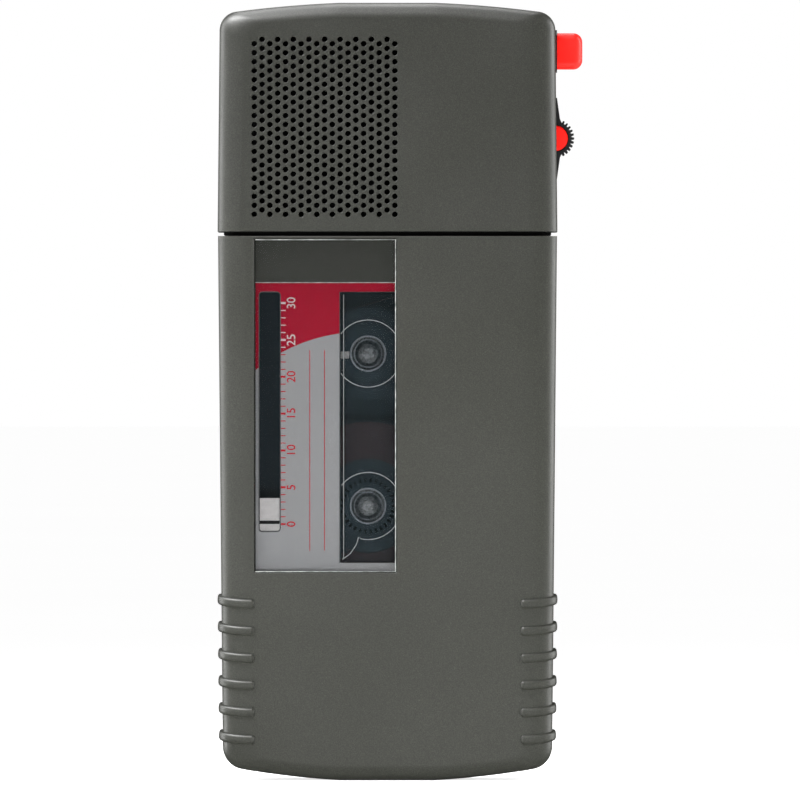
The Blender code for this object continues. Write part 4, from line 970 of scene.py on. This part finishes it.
def thumb_outline(inset):
    """Side view of the slide: a toothed half drum between two low ramps."""
    base_x, tail_x, ramp_x = SLIDE_X + 0.1, SLIDE_X + 0.35, SLIDE_X + 0.85
    points = [(base_x, SLIDE_Z - RAMP_END), (tail_x - inset * 0.5, SLIDE_Z - RAMP_END),
              (ramp_x - inset * 0.5, SLIDE_Z - RAMP_START)]
    pitch = math.tau / SLIDE_TEETH
    for tooth in range(-SHOWN_TEETH, SHOWN_TEETH + 1):
        for offset, drop in ((-0.34, 0.42), (-0.20, 0.0), (0.0, -0.03), (0.20, 0.0),
                             (0.34, 0.42)):
            angle = (tooth + offset) * pitch
            radius = SLIDE_RADIUS - drop - inset
            points.append((SLIDE_X + radius * math.cos(angle),
                           SLIDE_Z + radius * math.sin(angle)))
    points += [(ramp_x - inset * 0.5, SLIDE_Z + RAMP_START),
               (tail_x - inset * 0.5, SLIDE_Z + RAMP_END), (base_x, SLIDE_Z + RAMP_END)]
    return points


def make_slide(finishes):
    """The ridged thumb on its stem, and the red inlay in its front end."""
    front, back = CONTROL_Y - SLIDE_DEPTH / 2.0, CONTROL_Y + SLIDE_DEPTH / 2.0
    sections = ((front, 0.15), (front + 0.15, 0.0), (back - 0.15, 0.0), (back, 0.15))
    thumb = add_object("ridged_thumb", loft([[place(point, "Y", y)
                                              for point in thumb_outline(inset)]
                                             for y, inset in sections]))
    fuse(thumb, box(25.0, SLIDE_X + 0.5, CONTROL_Y - 1.1, CONTROL_Y + 1.1, SLIDE_Z - 2.0,
                    SLIDE_Z + 2.0))
    cut(thumb, cylinder("Y", (SLIDE_X, SLIDE_Z), INLAY_RADIUS + 0.1, front - 1.0,
                        front + 1.0, 48))
    finish_piece(thumb, finishes["black_plastic"], "slide", "black_plastic", "slide_thumb")
    steps = ((front, INLAY_RADIUS - 0.3), (front + 0.08, INLAY_RADIUS - 0.12),
             (front + 0.25, INLAY_RADIUS), (front + 0.85, INLAY_RADIUS))
    inlay = add_object("red_inlay", loft([[place(point, "Y", y)
                                           for point in circle((SLIDE_X, SLIDE_Z), radius, 48)]
                                          for y, radius in steps]))
    keep_inside(inlay, box(SLIDE_X + 0.15, 40.0, -10.0, 10.0, 90.0, 130.0))     # outer half
    finish_piece(inlay, finishes["red_plastic"], "slide", "red_plastic", "slide_inlay")


# CAD pieces that keep their mesh ----------------------------------------------------------------

def paint_frame(finishes):
    """Give each carried-over CAD node the procedural finish of its kind of surface."""
    special = {"cassette_front_shell": "dark_plastic", "cassette_rear_shell": "cassette_plastic",
               "upper_reel": "cassette_plastic", "lower_reel": "cassette_plastic",
               "index_gear": "cassette_plastic", "supply_spindle": "hub_metal",
               "take_up_spindle": "hub_metal", "speaker_frame": "speaker_paper",
               "divider_plate": "near_black_and_painted_shade"}
    for name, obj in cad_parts.items():
        slot = obj.material_slots[0]
        kind = special.get(name, slot.material.name)
        slot.link = "OBJECT"
        slot.material = finishes[kind]


# Stage, light and camera -------------------------------------------------------------------------

def add_light(name, size, energy, place_at, target, reflected, diffuse):
    light = bpy.data.lights.new(name, "AREA")
    light.shape = "RECTANGLE"
    light.size, light.size_y = size
    light.energy = energy
    obj = bpy.data.objects.new(name, light)
    obj.location = place_at
    direction = Vector(target) - Vector(place_at)
    obj.rotation_euler = direction.to_track_quat("-Z", "Y").to_euler()
    obj.visible_camera = False
    obj.visible_glossy = reflected
    obj.visible_diffuse = diffuse
    bpy.context.scene.collection.objects.link(obj)


def add_floor():
    """A wide pale floor that glows a little, so that it meets the white surround unseen."""
    finish = Finish("pale_floor", 0.7)
    finish.colour(finish.ramp(finish.noise(3.0), [(0.3, (0.90, 0.90, 0.90)),
                                                  (0.7, (0.92, 0.92, 0.92))]))
    bm = bmesh.new()
    bmesh.ops.create_grid(bm, x_segments=1, y_segments=1, size=FLOOR_HALF_SIZE / MM)
    bmesh.ops.translate(bm, verts=bm.verts, vec=(0.0, 0.0, -FLOOR_DROP / MM))
    finish.shader.inputs["Emission Color"].default_value = (1.0, 1.0, 1.0, 1.0)
    finish.shader.inputs["Emission Strength"].default_value = 0.70
    finish.material.cycles.emission_sampling = "NONE"
    floor = add_object("floor", bm)
    floor.data.materials.append(finish.material)
    floor.visible_glossy = False


def set_world():
    """White for the camera, an even soft surround for light, and a dimmer one in reflections."""
    world = bpy.data.worlds.new("studio")
    bpy.context.scene.world = world
    world.use_nodes = True
    tree = world.node_tree
    tree.nodes.clear()
    rays = tree.nodes.new("ShaderNodeLightPath")
    mix = tree.nodes.new("ShaderNodeMixShader")
    output = tree.nodes.new("ShaderNodeOutputWorld")
    white = tree.nodes.new("ShaderNodeMixShader")
    tree.links.new(rays.outputs["Is Glossy Ray"], mix.inputs["Fac"])
    tree.links.new(rays.outputs["Is Camera Ray"], white.inputs["Fac"])
    tree.links.new(mix.outputs["Shader"], white.inputs[1])
    for target, level in ((mix.inputs[1], SURROUND), (mix.inputs[2], REFLECTED),
                          (white.inputs[2], 1.0)):
        sky = tree.nodes.new("ShaderNodeBackground")
        sky.inputs["Color"].default_value = (1.0, 1.0, 1.0, 1.0)
        sky.inputs["Strength"].default_value = level
        tree.links.new(sky.outputs["Background"], target)
    tree.links.new(white.outputs["Shader"], output.inputs["Surface"])


def set_camera():
    """A long lens straight at the front, wide enough for the whole height."""
    camera = bpy.data.cameras.new("camera")
    camera.lens = SENSOR_WIDTH * CAMERA_DISTANCE / FIELD_WIDTH
    camera.sensor_width = SENSOR_WIDTH
    camera.clip_start, camera.clip_end = 0.1, 100.0
    obj = bpy.data.objects.new("camera", camera)
    obj.location = (CAMERA_X, FRONT * MM - CAMERA_DISTANCE, CAMERA_Z)
    obj.rotation_euler = (math.pi / 2.0, 0.0, 0.0)
    bpy.context.scene.collection.objects.link(obj)
    bpy.context.scene.camera = obj


def light_stage():
    set_world()
    add_floor()
    for light in LIGHTS:
        add_light(*light)
    bpy.context.scene.view_settings.view_transform = "Standard"


def main():
    finishes = make_finishes()
    paint_frame(finishes)
    make_upper_front_cover(finishes)
    make_upper_rear_cover(finishes)
    make_lower_rear_cover(finishes)
    make_battery_door(finishes)
    make_cassette_lid(finishes)
    make_grip_ribs(finishes)
    make_window_pane(finishes)
    make_label(finishes)
    make_index_scale(finishes)
    make_window_mouldings(finishes)
    make_pane_edges(finishes)
    make_slot_frame(finishes)
    make_hub_details(finishes)
    make_gear_notches(finishes)
    make_record_button(finishes)
    make_slide(finishes)
    set_camera()
    light_stage()


main()
